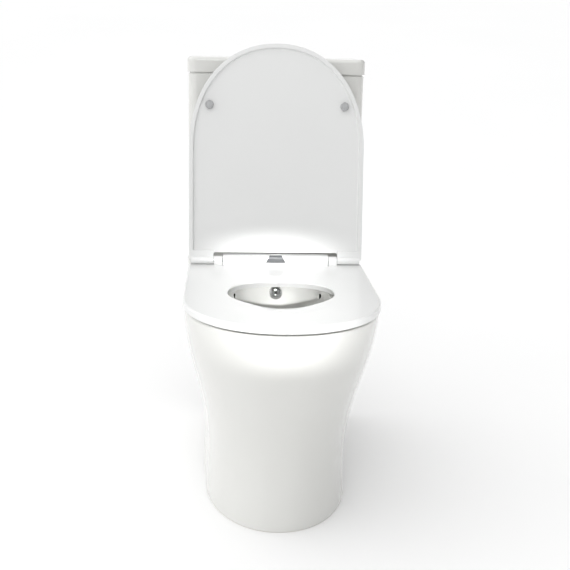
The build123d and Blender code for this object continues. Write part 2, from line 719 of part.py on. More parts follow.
def make_lid():
    """The loose lid, with a lip that keeps it in place on the tank."""
    front_y = CISTERN_FRONT_Y - LID_OVERHANG
    depth = BACK_Y - front_y
    middle_y = (front_y + BACK_Y) / 2
    lid = rounded_box(LID_WIDTH, front_y, CISTERN_TOP_Z, LID_TOP_Z, CISTERN_CORNER_R)
    lid = fillet(lid.faces().sort_by(Axis.Z)[-1].edges(), LID_EDGE_R)
    step = Pos(0, middle_y, CISTERN_TOP_Z) * (
        RectangleRounded(LID_WIDTH + EPS, depth + EPS, CISTERN_CORNER_R)
        - RectangleRounded(LID_WIDTH - 2 * SHADOW_DEPTH, depth - 2 * SHADOW_DEPTH, CISTERN_CORNER_R / 2)
    )
    lid -= extrude(step, SHADOW_GAP)
    hollow = Pos(0, middle_y, CISTERN_TOP_Z - EPS) * RectangleRounded(
        LID_WIDTH - 2 * LID_RIM - LIP_WALL, depth - 2 * LID_RIM - LIP_WALL, CISTERN_CORNER_R / 2
    )
    lip_width = CISTERN_WIDTH - 2 * CISTERN_WALL - 2 * LIP_PLAY
    lip_depth = CISTERN_DEPTH - 2 * CISTERN_WALL - 2 * LIP_PLAY
    lip = Pos(0, CISTERN_MID_Y, CISTERN_TOP_Z - LIP_DROP) * (
        RectangleRounded(lip_width, lip_depth, CISTERN_CORNER_R / 2)
        - RectangleRounded(lip_width - 2 * LIP_WALL, lip_depth - 2 * LIP_WALL, CISTERN_CORNER_R / 4)
    )
    lid -= extrude(hollow, LID_HEIGHT - LID_TOP + EPS)
    lid += extrude(lip, LIP_DROP + LID_HEIGHT - LID_TOP)
    return lid - rod(BUTTON_X, VALVE_Y, LID_CEILING_Z - EPS, LID_TOP_Z + EPS, BEZEL_SLEEVE_R + SLIDE_PLAY)


def make_bezel():
    """Round surround of the flush buttons, threaded into the lid, with a guide web below."""
    low = LID_TOP_Z - BEZEL_SLEEVE_DROP
    bore = BUTTON_R + SLIDE_PLAY
    bezel = tube(BUTTON_X, VALVE_Y, low, LID_TOP_Z, BEZEL_SLEEVE_R, bore)
    flange = tube(BUTTON_X, VALVE_Y, LID_TOP_Z, LID_TOP_Z + BEZEL_FLANGE, BEZEL_FLANGE_R, bore)
    bezel += chamfer(flange.faces().sort_by(Axis.Z)[-1].outer_wire().edges(), BEZEL_FLANGE / 2)
    web = rod(BUTTON_X, VALVE_Y, low, low + BEZEL_WEB, bore)
    for x in (FULL_ROD_X, HALF_ROD_X):
        web -= rod(x, VALVE_Y, low - EPS, low + BEZEL_WEB + EPS, ROD_R + SLIDE_PLAY)
    return bezel + web


def make_button(side):
    """One of the two press buttons with its foot; side is 1 for the full flush."""
    high = LID_TOP_Z + BEZEL_FLANGE + BUTTON_PROUD
    disc = rod(BUTTON_X, VALVE_Y, high - BUTTON_HEIGHT, high, BUTTON_R)
    disc = chamfer(disc.faces().sort_by(Axis.Z)[-1].edges(), 1.0)
    edge = BUTTON_SPLIT_X + side * BUTTON_SPLIT_GAP / 2
    far = edge + side * 2 * BUTTON_R
    keep = block(
        (min(edge, far), VALVE_Y - 2 * BUTTON_R, high - BUTTON_HEIGHT - EPS),
        (max(edge, far), VALVE_Y + 2 * BUTTON_R, high + EPS),
    )
    return common(disc, keep)


def make_button_rod(x):
    """Push rod that screws into a button's foot."""
    high = LID_TOP_Z + BEZEL_FLANGE + BUTTON_PROUD - BUTTON_HEIGHT
    return rod(x, VALVE_Y, ROD_END_Z, high, ROD_R)


# ---------------------------------------------------------------- flush valve
def make_flush_valve_body():
    """Threaded tail, flange and windowed tower in one moulding."""
    flange_low = CISTERN_FLOOR_Z + VALVE_WASHER
    body = tube(0, VALVE_Y, VALVE_TAIL_Z, VALVE_SEAT_Z, VALVE_TAIL_R, VALVE_BORE_R)
    body += tube(0, VALVE_Y, flange_low, VALVE_SEAT_Z, VALVE_FLANGE_R, VALVE_BORE_R)
    body += tube(0, VALVE_Y, VALVE_SEAT_Z, TOWER_TOP_Z, TOWER_R, TOWER_R - TOWER_WALL)
    ledge_bore = TOWER_R - TOWER_WALL - LEDGE_WIDTH
    body += tube(0, VALVE_Y, FLOAT_LOW_Z - LEDGE, FLOAT_LOW_Z, TOWER_R - TOWER_WALL / 2, ledge_bore)
    window_low = VALVE_SEAT_Z + TOWER_WINDOW_LIFT
    for turn in range(4):
        window = block(
            (TOWER_R / 2, -TOWER_WINDOW_W / 2, window_low),
            (TOWER_R + EPS, TOWER_WINDOW_W / 2, window_low + TOWER_WINDOW_H),
        )
        body -= Pos(0, VALVE_Y, 0) * Rot(0, 0, 45 + 90 * turn) * window
    return body


def make_flush_valve_head():
    """Cap on the tower that guides the overflow tube and the two plungers."""
    high = TOWER_TOP_Z + HEAD_PLATE
    head = tube(0, VALVE_Y, TOWER_TOP_Z, high, TOWER_R, OVERFLOW_R + SLIDE_PLAY)
    for side in (-1, 1):
        head -= rod(side * PLUNGER_X, VALVE_Y, TOWER_TOP_Z - EPS, high + EPS, PLUNGER_STEM_R + SLIDE_PLAY)
    return head


def make_overflow_tube():
    """Overflow tube with the plate that carries the seal."""
    low = VALVE_SEAT_Z + SEAL
    overflow = tube(0, VALVE_Y, low, OVERFLOW_TOP_Z, OVERFLOW_R, OVERFLOW_BORE_R)
    return overflow + tube(0, VALVE_Y, low, low + SEAL_CARRIER, SEAL_R, OVERFLOW_BORE_R)


def make_plunger(side, rod_x_place):
    """Cranked plunger under a push rod, guided beside the overflow tube."""
    stem = rod(side * PLUNGER_X, VALVE_Y, PLUNGER_FOOT_Z, ROD_END_Z, PLUNGER_STEM_R)
    inner = rod_x_place - side * ROD_R
    outer = side * (PLUNGER_X + PLUNGER_STEM_R)
    cap = block(
        (min(inner, outer), VALVE_Y - PLUNGER_CAP_Y / 2, ROD_END_Z - PLUNGER_CAP),
        (max(inner, outer), VALVE_Y + PLUNGER_CAP_Y / 2, ROD_END_Z),
    )
    return stem + cap


# ---------------------------------------------------------------- fill valve
def make_fill_valve_body():
    """Threaded shank, riser, float collar, head and the lever's ears in one moulding."""
    flange_low = CISTERN_FLOOR_Z + VALVE_WASHER
    head_top = FILL_HEAD_Z + FILL_HEAD_H
    nut_low = CISTERN_LOW_Z - FILL_NUT
    body = rod(FILL_X, FILL_Y, nut_low, flange_low + VALVE_FLANGE, FILL_SHANK_R)
    body += rod(FILL_X, FILL_Y, FILL_SHANK_Z, nut_low, FILL_INLET_R)
    body += rod(FILL_X, FILL_Y, flange_low, flange_low + VALVE_FLANGE, FILL_FLANGE_R)
    body += rod(FILL_X, FILL_Y, flange_low, FILL_HEAD_Z + EPS, FILL_RISER_R)
    body += rod(FILL_X, FILL_Y, FLOAT_LOW_Z - FILL_COLLAR, FLOAT_LOW_Z, FILL_COLLAR_R)
    body += rod(FILL_X, FILL_Y, FILL_HEAD_Z, head_top, FILL_HEAD_R)
    pivot_z = head_top + LEVER_PIVOT_LIFT
    pivot_x = FILL_X + LEVER_PIVOT_X
    for side in (-1, 1):
        near = FILL_Y + side * (LEVER_WIDTH / 2 + SLIDE_PLAY)
        far = near + side * LEVER_EAR
        ear = block(
            (pivot_x - LEVER_THICK, min(near, far), head_top - EPS),
            (pivot_x + LEVER_THICK, max(near, far), pivot_z + LEVER_THICK),
        )
        body += ear
    ear_reach = LEVER_WIDTH / 2 + SLIDE_PLAY + LEVER_EAR + EPS
    body -= rod_y(pivot_x, FILL_Y - ear_reach, FILL_Y + ear_reach, pivot_z, LEVER_PIN_R)
    return body - rod(FILL_X, FILL_Y, FILL_SHANK_Z - EPS, FILL_HEAD_Z, FILL_BORE_R)


def make_fill_lever():
    """Lever that the float lifts to shut the valve."""
    pivot_z = FILL_HEAD_Z + FILL_HEAD_H + LEVER_PIVOT_LIFT
    pivot_x = FILL_X + LEVER_PIVOT_X
    end_x = FILL_X + LINK_X - LEVER_OVERRUN
    arm = block(
        (end_x, FILL_Y - LEVER_WIDTH / 2, pivot_z - LEVER_THICK / 2),
        (pivot_x, FILL_Y + LEVER_WIDTH / 2, pivot_z + LEVER_THICK / 2),
    )
    arm += rod_y(pivot_x, FILL_Y - LEVER_WIDTH / 2, FILL_Y + LEVER_WIDTH / 2, pivot_z, LEVER_THICK)
    return arm - rod_y(pivot_x, FILL_Y - LEVER_WIDTH, FILL_Y + LEVER_WIDTH, pivot_z, LEVER_PIN_R + RUNNING)


def make_fill_lever_pin():
    """Pin through the ears and the lever."""
    pivot_z = FILL_HEAD_Z + FILL_HEAD_H + LEVER_PIVOT_LIFT
    reach = LEVER_WIDTH / 2 + SLIDE_PLAY + LEVER_EAR
    return rod_y(FILL_X + LEVER_PIVOT_X, FILL_Y - reach, FILL_Y + reach, pivot_z, LEVER_PIN_R)


def make_fill_float():
    """Cup float on the riser, with the link that pushes the lever up."""
    high = FLOAT_LOW_Z + FILL_FLOAT_H
    cup = tube(FILL_X, FILL_Y, FLOAT_LOW_Z, high, FILL_FLOAT_R, FILL_RISER_R + SLIDE_PLAY)
    lever_low = FILL_HEAD_Z + FILL_HEAD_H + LEVER_PIVOT_LIFT - LEVER_THICK / 2
    return cup + rod(FILL_X + LINK_X, FILL_Y, high - EPS, lever_low - LINK_GAP, LINK_R)


# ---------------------------------------------------------------- fastenings between tank and pan
def coupling_bolt(x):
    """Bolt from inside the tank down through the deck."""
    head_low = CISTERN_FLOOR_Z + RUBBER + STEEL
    bolt = rod(x, VALVE_Y, COUPLING_END_Z, head_low + EPS, COUPLING_R)
    return bolt + rod(x, VALVE_Y, head_low, head_low + COUPLING_HEAD, COUPLING_HEAD_R)


def bolt_washers(x, low_inside, thick_inside, low_below, thick_below):
    """A washer under the head and one under the deck, on the same bolt."""
    bore = COUPLING_R + SLIDE_PLAY / 2
    upper = tube(x, VALVE_Y, low_inside, low_inside + thick_inside, WASHER_R, bore)
    lower = tube(x, VALVE_Y, low_below, low_below + thick_below, WASHER_R, bore)
    return upper, lower


def wing_nut(x):
    """Wing nut that draws the tank down on its foam ring."""
    high = DECK_LOW_Z - RUBBER - STEEL
    nut = rod(x, VALVE_Y, high - WING_H, high, WING_R)
    wings = block(
        (x - WING_SPAN / 2, VALVE_Y - WING_THICK / 2, high - WING_H),
        (x + WING_SPAN / 2, VALVE_Y + WING_THICK / 2, high - WING_H / 4),
    )
    return (nut + wings) - rod(x, VALVE_Y, high - 2 * WING_H, high + EPS, COUPLING_R + RUNNING)


# ---------------------------------------------------------------- seat ring
def seat_outline(inset, z):
    """The ring's outer outline, set in by a wall."""
    return d_face(
        SEAT_WIDTH / 2 - inset, FRONT_Y + inset, SEAT_NOSE - inset, HINGE_Y + SEAT_REAR - inset, SEAT_POWER, z
    )


def dish_cut():
    """Gentle slope that leads down to the opening at the front of the ring."""
    top = SEAT_TOP_Z
    wedge = Plane.YZ.offset(-SEAT_WIDTH / 2) * make_face(
        Polyline(
            (DISH_FRONT_Y, top),
            (OPENING_FRONT_Y, top - DISH_DROP),
            (OPENING_REAR_Y, top - DISH_DROP),
            (OPENING_REAR_Y, top + EPS),
            (DISH_FRONT_Y, top + EPS),
            close=True,
        )
    )
    column = oval(OPENING_HALF_WIDTH + EPS, DISH_FRONT_Y, OPENING_REAR_Y - EPS, OPENING_POWER, SEAT_LOW_Z)
    return common(extrude(wedge, SEAT_WIDTH), extrude(column, 2 * SEAT_THICK))


def seat_knuckle():
    """Right-hand eye of the ring on the hinge pin."""
    low_x = BAR_HALF_WIDTH + SEAT_NOTCH_PLAY
    high_x = low_x + SEAT_KNUCKLE_W
    eye = rod_x(low_x, high_x, HINGE_Y, HINGE_Z, KNUCKLE_R)
    neck = block(
        (low_x, HINGE_Y - KNUCKLE_R, SEAT_LOW_Z + SEAT_SKIN), (high_x, HINGE_Y + KNUCKLE_R, HINGE_Z)
    )
    return eye + neck


def make_seat():
    """Seat ring, hollow below, with its two hinge eyes."""
    ring = extrude(seat_outline(0, SEAT_LOW_Z), SEAT_THICK)
    ring = fillet(ring.faces().sort_by(Axis.Z)[-1].edges(), SEAT_EDGE_R)
    opening = oval(OPENING_HALF_WIDTH, OPENING_FRONT_Y, OPENING_REAR_Y, OPENING_POWER, SEAT_LOW_Z - EPS)
    ring -= extrude(opening, SEAT_THICK + 2 * EPS)
    notch_half = BAR_HALF_WIDTH + SEAT_NOTCH_PLAY
    notch_y = HINGE_Y - BAR_FRONT - SEAT_NOTCH_PLAY
    ring -= block((-notch_half, notch_y, SEAT_LOW_Z - EPS), (notch_half, BACK_Y, SEAT_TOP_Z + EPS))
    ring -= seat_pocket(notch_y)
    for x, y in BUFFERS:
        for side in (-1, 1):
            ring += rod(side * x, y, SEAT_LOW_Z + EPS, SEAT_TOP_Z - SEAT_SKIN, BUFFER_R + BUFFER_CLEAR)
            ring -= rod(side * x, y, SEAT_LOW_Z - EPS, SEAT_TOP_Z - SEAT_SKIN, BUFFER_R - BUFFER_CLEAR)
    ring -= dish_cut()
    ring += seat_knuckle() + mirrored(seat_knuckle())
    bore = rod_x(-PIN_REACH, PIN_REACH, HINGE_Y, HINGE_Z, PIN_R + RUNNING)
    return ring - bore


def seat_pocket(notch_y):
    """Hollow under the ring, between its edge and a wall round the opening."""
    rear_y = notch_y - SEAT_EDGE
    pocket = extrude(seat_outline(SEAT_EDGE, SEAT_LOW_Z - EPS), SEAT_THICK - SEAT_SKIN + EPS)
    wall = oval(
        OPENING_HALF_WIDTH + SEAT_EDGE,
        DISH_FRONT_Y - SEAT_EDGE,
        OPENING_REAR_Y + SEAT_EDGE,
        OPENING_POWER,
        SEAT_LOW_Z - 2 * EPS,
    )
    pocket -= extrude(wall, SEAT_THICK + 2 * EPS)
    return pocket - block((-SEAT_WIDTH, rear_y, 0), (SEAT_WIDTH, BACK_Y, SEAT_TOP_Z))


def make_seat_buffers():
    """Four soft buffers under the ring, pushed into their sockets."""
    top = SEAT_TOP_Z - SEAT_SKIN
    buffers = []
    for x, y in BUFFERS:
        for side in (-1, 1):
            foot = rod(side * x, y, RIM_Z + REST_GAP, SEAT_LOW_Z + EPS, BUFFER_R)
            buffers.append(foot + rod(side * x, y, SEAT_LOW_Z, top, BUFFER_R - BUFFER_CLEAR))
    return Compound(children=buffers)


# ---------------------------------------------------------------- cover
def raise_cover(shape):
    """Swing a piece made on the closed cover up to where the cover rests."""
    return Pos(0, HINGE_Y, HINGE_Z) * Rot(-COVER_SWING, 0, 0) * Pos(0, -HINGE_Y, -HINGE_Z) * shape


def cover_outline(inset, z):
    """The closed cover's outline, set in by a rim."""
    return d_face(
        COVER_WIDTH / 2 - inset,
        HINGE_Y - COVER_LENGTH + inset,
        COVER_NOSE - inset,
        HINGE_Y - inset,
        SEAT_POWER,
        z,
    )


def make_cover_closed():
    """Cover as it lies when closed: a plate with a rim below and two long hinge eyes."""
    plate = extrude(cover_outline(0, COVER_LOW_Z), COVER_THICK)
    plate = fillet(plate.faces().sort_by(Axis.Z)[-1].edges(), COVER_EDGE_R)
    plate -= extrude(cover_outline(COVER_RIM, COVER_LOW_Z - EPS), COVER_RECESS + EPS)
    recess_z = COVER_LOW_Z + COVER_RECESS
    for side in (-1, 1):
        eye = rod_x(COVER_NOTCH_HALF, COVER_NOTCH_HALF + COVER_KNUCKLE_W, HINGE_Y, HINGE_Z, KNUCKLE_R)
        web = block(
            (COVER_NOTCH_HALF, HINGE_Y - COVER_NOTCH, COVER_LOW_Z),
            (COVER_NOTCH_HALF + COVER_KNUCKLE_W, HINGE_Y, recess_z + EPS),
        )
        plate += (eye + web) if side == 1 else mirrored(eye + web)
        x, y = side * BUMPER_X, HINGE_Y - BUMPER_S
        plate -= rod(x, y, recess_z - EPS, recess_z + EPS, BUMPER_BASE_R)
    plate -= block(
        (-COVER_NOTCH_HALF, HINGE_Y - COVER_NOTCH, COVER_LOW_Z - EPS),
        (COVER_NOTCH_HALF, HINGE_Y + COVER_RIM, COVER_LOW_Z + COVER_THICK + EPS),
    )
    return plate - rod_x(-PIN_REACH - EPS, PIN_REACH + EPS, HINGE_Y, HINGE_Z, PIN_R + RUNNING)


def make_cover_bumpers():
    """Two round bumpers under the cover."""
    recess_z = COVER_LOW_Z + COVER_RECESS
    y = HINGE_Y - BUMPER_S
    bumper = rod(BUMPER_X, y, SEAT_TOP_Z + REST_GAP, recess_z, BUMPER_R)
    bumper += rod(BUMPER_X, y, recess_z - EPS, recess_z + EPS, BUMPER_BASE_R)
    return pair(raise_cover(bumper))


# ---------------------------------------------------------------- hinge
def release_face(grow, y):
    """Trapezoid outline of the release button, seen from the front."""
    top = HINGE_Z + BAR_TOP
    low = top - RELEASE_H - grow
    half_low, half_top = RELEASE_BASE_W / 2 + grow, RELEASE_TOP_W / 2 + grow
    outline = Polyline((-half_low, low), (half_low, low), (half_top, top), (-half_top, top), close=True)
    return Plane.XZ.offset(-y) * make_face(outline)


def make_hinge_bar():
    """Fixed bar across the deck that holds the dampers and the pins."""
    top = HINGE_Z + BAR_TOP
    bar = block(
        (-BAR_HALF_WIDTH, HINGE_Y - BAR_FRONT, RIM_Z), (BAR_HALF_WIDTH, HINGE_Y + BAR_BACK, top)
    )
    bar = fillet(bar.faces().sort_by(Axis.Z)[-1].edges().filter_by(Axis.X), BAR_EDGE_R)
    bore = rod_x(DAMPER_IN, DAMPER_OUT, HINGE_Y, HINGE_Z, DAMPER_R + RUNNING)
    bore += rod_x(DAMPER_OUT - EPS, BAR_HALF_WIDTH + EPS, HINGE_Y, HINGE_Z, PIN_R + RUNNING)
    bar -= bore + mirrored(bore)
    for side in (-1, 1):
        bar -= rod(side * STUD_X, HINGE_Y, RIM_Z - EPS, STUD_TOP_Z, STUD_R + RUNNING)
    front = HINGE_Y - BAR_FRONT
    depth = RELEASE_INSET + RELEASE_DEPTH + RELEASE_TRAVEL + RELEASE_PLAY
    pocket = extrude(release_face(RELEASE_PLAY, front - EPS), -depth - EPS)
    lift = block(
        (-RELEASE_TOP_W / 2 - RELEASE_PLAY, front - EPS, top - EPS),
        (RELEASE_TOP_W / 2 + RELEASE_PLAY, front + depth, top + EPS),
    )
    return bar - pocket - lift


def make_release_button():
    """Trapezoid button in the middle of the bar; it is pushed back to free the seat."""
    front = HINGE_Y - BAR_FRONT + RELEASE_INSET
    button = extrude(release_face(0, front), -RELEASE_DEPTH)
    body = block(
        (-RELEASE_BASE_W, HINGE_Y - BAR_FRONT, RIM_Z),
        (RELEASE_BASE_W, HINGE_Y + BAR_BACK, HINGE_Z + BAR_TOP),
    )
    body = fillet(body.faces().sort_by(Axis.Z)[-1].edges().filter_by(Axis.X), BAR_EDGE_R)
    return common(button, Pos(0, RELEASE_INSET, -RELEASE_INSET) * body)


def stud_fastening():
    """Stud, cone washer and nut on the right, as three solids."""
    bore = STUD_R + RUNNING
    stud = rod(STUD_X, HINGE_Y, STUD_END_Z, STUD_TOP_Z, STUD_R)
    cone = tube(STUD_X, HINGE_Y, SLAB_LOW_Z - CONE_H, SLAB_LOW_Z, CONE_R, bore)
    nut = hexagon(STUD_X, HINGE_Y, SLAB_LOW_Z - CONE_H - STUD_NUT, SLAB_LOW_Z - CONE_H, STUD_NUT_R, bore)
    return stud, cone, nut


# ---------------------------------------------------------------- bidet spray
def make_spray():
    """Round metal spray head on the bowl's rear wall, with its threaded shank."""
    back = SPRAY_FACE_Y - SPRAY_GASKET
    front = back - SPRAY_DEPTH
    head = rod_y(0, front, back, SPRAY_Z, SPRAY_R)
    head = fillet(head.faces().sort_by(Axis.Y)[0].edges(), SPRAY_DEPTH * 0.7)
    head += rod_y(0, back - EPS, SPRAY_SHANK_END_Y, SPRAY_Z, SPRAY_SHANK_R)
    return head - rod_y(0, front - EPS, SPRAY_SHANK_END_Y + EPS, SPRAY_Z, SPRAY_BORE_R)


def ring_y(low, high, radius, bore):
    """Ring round the spray's axis."""
    return rod_y(0, low, high, SPRAY_Z, radius) - rod_y(0, low - EPS, high + EPS, SPRAY_Z, bore)


def make_spray_nut():
    """Six-sided nut behind the bowl's wall."""
    low, high = SPRAY_BOSS_Y, SPRAY_BOSS_Y + SPRAY_NUT
    outline = Plane.XZ.offset(-low) * Pos(0, SPRAY_Z) * RegularPolygon(SPRAY_NUT_R, 6)
    return extrude(outline, -SPRAY_NUT) - rod_y(0, low - EPS, high + EPS, SPRAY_Z, SPRAY_SHANK_R + RUNNING)


# ---------------------------------------------------------------- floor fixings
def make_bracket():
    """Right-hand angle bracket inside the skirt, screwed to the floor."""
    outside = fixing_half_width() - WALL - BRACKET_GAP
    low_y, high_y = FIX_Y - BRACKET_WIDTH / 2, FIX_Y + BRACKET_WIDTH / 2
    upright = block((outside - BRACKET_THICK, low_y, 0), (outside, high_y, BRACKET_HEIGHT))
    foot = block((outside - BRACKET_FOOT, low_y, 0), (outside, high_y, BRACKET_THICK))
    bracket = upright + foot
    hole_x = outside - BRACKET_FOOT / 2
    bracket -= rod(hole_x, FIX_Y, -EPS, BRACKET_THICK + EPS, BRACKET_HOLE_R)
    return bracket - rod_x(outside - 2 * BRACKET_THICK, outside + EPS, FIX_Y, FIX_Z, FIX_SCREW_R + RUNNING)


def make_side_screw():
    """Screw through the skirt's right side into the bracket."""
    seat_x = fixing_half_width() - CAP_DEPTH - FIX_HEAD
    screw = rod_x(seat_x - FIX_SCREW_LENGTH, seat_x + EPS, FIX_Y, FIX_Z, FIX_SCREW_R)
    return screw + rod_x(seat_x, seat_x + FIX_HEAD, FIX_Y, FIX_Z, FIX_HEAD_R)


def make_screw_cap():
    """Snap-in cap over the right side screw."""
    seat_x = fixing_half_width() - CAP_DEPTH
    cap = rod_x(seat_x, seat_x + CAP_DEPTH + CAP_PROUD, FIX_Y, FIX_Z, CAP_R - REST_GAP)
    return fillet(cap.faces().sort_by(Axis.X)[-1].edges(), CAP_PROUD * 0.8)


# ---------------------------------------------------------------- the whole toilet
def build_ceramics():
    """Pan, cistern and lid."""
    save("pan", make_pan())
    save("cistern", make_cistern())
    save("cistern_lid", make_lid())


def build_flush_button():
    """Everything on the lid that is pressed."""
    ceiling = LID_CEILING_Z
    save("button_bezel", make_bezel())
    nut = tube(BUTTON_X, VALVE_Y, ceiling - BEZEL_NUT, ceiling, BEZEL_NUT_R, BEZEL_SLEEVE_R + RUNNING)
    save("button_bezel_nut", nut)
    save("full_flush_button", make_button(1))
    save("half_flush_button", make_button(-1))
    save("full_flush_rod", make_button_rod(FULL_ROD_X))
    save("half_flush_rod", make_button_rod(HALF_ROD_X))


def build_flush_valve():
    """The valve over the hole in the cistern's floor."""
    floor_z = CISTERN_FLOOR_Z
    save("flush_valve_body", make_flush_valve_body())
    save("flush_valve_head", make_flush_valve_head())
    washer = tube(0, VALVE_Y, floor_z, floor_z + VALVE_WASHER, VALVE_FLANGE_R, VALVE_TAIL_R + RUNNING)
    save("flush_valve_washer", washer)
    nut_low = CISTERN_LOW_Z - VALVE_NUT
    save("flush_valve_nut", hexagon(0, VALVE_Y, nut_low, CISTERN_LOW_Z, VALVE_NUT_R, VALVE_TAIL_R + RUNNING))
    save("overflow_tube", make_overflow_tube())
    seal = tube(0, VALVE_Y, VALVE_SEAT_Z, VALVE_SEAT_Z + SEAL, SEAL_R, OVERFLOW_BORE_R)
    save("flush_seal", seal)
    flush_float = tube(
        0, VALVE_Y, FLOAT_LOW_Z, FLOAT_LOW_Z + FLUSH_FLOAT_H, FLUSH_FLOAT_R, OVERFLOW_R + SLIDE_PLAY
    )
    save("half_flush_float", flush_float)
    save("full_flush_plunger", make_plunger(1, FULL_ROD_X))
    save("half_flush_plunger", make_plunger(-1, HALF_ROD_X))


def build_fill_valve():
    """The inlet valve at the cistern's left."""
    floor_z = CISTERN_FLOOR_Z
    save("fill_valve_body", make_fill_valve_body())
    bore = FILL_SHANK_R + RUNNING
    save("fill_valve_washer", tube(FILL_X, FILL_Y, floor_z, floor_z + VALVE_WASHER, FILL_FLANGE_R, bore))
    nut_low = CISTERN_LOW_Z - FILL_NUT
    save("fill_valve_nut", hexagon(FILL_X, FILL_Y, nut_low, CISTERN_LOW_Z, FILL_NUT_R, bore))
    save("fill_float", make_fill_float())
    save("fill_valve_lever", make_fill_lever())
    save("fill_lever_pin", make_fill_lever_pin())


def build_coupling():
    """Foam ring, bolts, washers and wing nuts between the cistern and the pan."""
    save("coupling_gasket", tube(0, VALVE_Y, DECK_Z, CISTERN_LOW_Z, GASKET_R, GASKET_BORE_R))
    floor_z, under = CISTERN_FLOOR_Z, DECK_LOW_Z
    rubber, steel = [], []
    for side in (-1, 1):
        x = side * COUPLING_X
        rubber += bolt_washers(x, floor_z, RUBBER, under - RUBBER, RUBBER)
        steel += bolt_washers(x, floor_z + RUBBER, STEEL, under - RUBBER - STEEL, STEEL)
    save("coupling_bolts", pair(coupling_bolt(COUPLING_X)))
    save("coupling_rubber_washers", Compound(children=rubber))
    save("coupling_steel_washers", Compound(children=steel))
    save("coupling_wing_nuts", pair(wing_nut(COUPLING_X)))


def build_seat_and_cover():
    """Seat ring, cover and the hinge that carries both."""
    save("seat_ring", make_seat())
    save("seat_buffers", make_seat_buffers())
    save("seat_cover", raise_cover(make_cover_closed()))
    save("cover_bumpers", make_cover_bumpers())
    save("hinge_bar", make_hinge_bar())
    save("hinge_pins", pair(rod_x(DAMPER_OUT, PIN_REACH, HINGE_Y, HINGE_Z, PIN_R)))
    save("soft_close_dampers", pair(rod_x(DAMPER_IN, DAMPER_OUT, HINGE_Y, HINGE_Z, DAMPER_R)))
    save("release_button", make_release_button())
    stud, cone, nut = stud_fastening()
    save("hinge_studs", pair(stud))
    save("hinge_cone_washers", pair(cone))
    save("hinge_nuts", pair(nut))


def build_spray():
    """Bidet spray, its fastening and its supply."""
    save("spray_nozzle", make_spray())
    save("spray_gasket", ring_y(SPRAY_FACE_Y - SPRAY_GASKET, SPRAY_FACE_Y, SPRAY_R, SPRAY_SHANK_R + RUNNING))
    save("spray_nut", make_spray_nut())
    save("spray_pipe", ring_y(SPRAY_SHANK_END_Y, PIPE_END_Y, PIPE_R, PIPE_BORE_R))
    save("spray_inlet", ring_y(PIPE_END_Y, PIPE_END_Y + TAIL_LENGTH, TAIL_R, PIPE_BORE_R))


def build_floor_fixings():
    """Brackets, side screws and their caps."""
    save("floor_brackets", pair(make_bracket()))
    save("side_screws", pair(make_side_screw()))
    save("screw_caps", pair(make_screw_cap()))


build_ceramics()
build_flush_button()
build_flush_valve()
build_fill_valve()
build_coupling()
build_seat_and_cover()
build_spray()
build_floor_fixings()
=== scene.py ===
"""Looks of a close coupled toilet, built around its packed construction model.

Everything is in the frame of the construction model: +Z up, -Y towards the person who faces the toilet, +X to that
person's right. The glazed pieces, the seat and its cover, the hinge, the flush buttons and the spray are rebuilt here
as smooth meshes. The fittings inside keep their construction meshes and get a finish. Sizes are in millimetres until
a mesh is dressed, which brings it to metres.
"""

import json
import logging
import math
from collections.abc import Iterable, Sequence
from dataclasses import dataclass, field
from enum import Enum

import bmesh
import bpy
import numpy as np
from mathutils import Matrix, Vector


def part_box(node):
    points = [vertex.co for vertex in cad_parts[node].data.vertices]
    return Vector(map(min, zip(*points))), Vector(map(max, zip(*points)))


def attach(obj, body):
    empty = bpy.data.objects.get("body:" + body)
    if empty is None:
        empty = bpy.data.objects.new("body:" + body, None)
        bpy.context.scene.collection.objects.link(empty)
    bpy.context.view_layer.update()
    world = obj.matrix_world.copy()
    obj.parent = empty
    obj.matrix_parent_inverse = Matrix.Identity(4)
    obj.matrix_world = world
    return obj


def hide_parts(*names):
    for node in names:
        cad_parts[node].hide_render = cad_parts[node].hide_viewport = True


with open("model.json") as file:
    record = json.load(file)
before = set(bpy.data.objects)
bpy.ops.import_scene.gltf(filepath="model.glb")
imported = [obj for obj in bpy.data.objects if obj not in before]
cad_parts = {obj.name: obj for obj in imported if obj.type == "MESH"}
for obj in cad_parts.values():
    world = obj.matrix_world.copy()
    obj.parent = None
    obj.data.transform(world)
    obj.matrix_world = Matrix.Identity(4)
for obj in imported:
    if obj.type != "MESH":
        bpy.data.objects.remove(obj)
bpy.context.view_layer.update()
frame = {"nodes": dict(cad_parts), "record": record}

LOG = logging.getLogger("toilet")
MM = 0.001
SMOOTH_ANGLE = math.radians(32)
Loop = np.ndarray
Mesh = bpy.types.Object


class Body(Enum):
    """Moving bodies of the construction model."""

    PAN = "pan_assembly"
    LID = "lid"
    SEAT = "seat"
    COVER = "cover"
    RELEASE = "release"
    FULL = "full_button"
    HALF = "half_button"


class Cut(Enum):
    """Ways to combine two solid meshes."""

    JOIN = "UNION"
    TAKE = "DIFFERENCE"
    KEEP = "INTERSECT"


# ------------------------------------------------------------------ meshes
def new_object(name: str, vertices: Iterable[Sequence[float]], faces: Iterable[Sequence[int]]) -> Mesh:
    """Make a linked mesh object.

    Args:
        name: The object's name.
        vertices: Its points.
        faces: Vertex indices of each face.

    Returns:
        The new object.
    """
    mesh = bpy.data.meshes.new(name)
    mesh.from_pydata([tuple(v) for v in vertices], [], [tuple(f) for f in faces])
    obj = bpy.data.objects.new(name, mesh)
    bpy.context.scene.collection.objects.link(obj)
    return obj


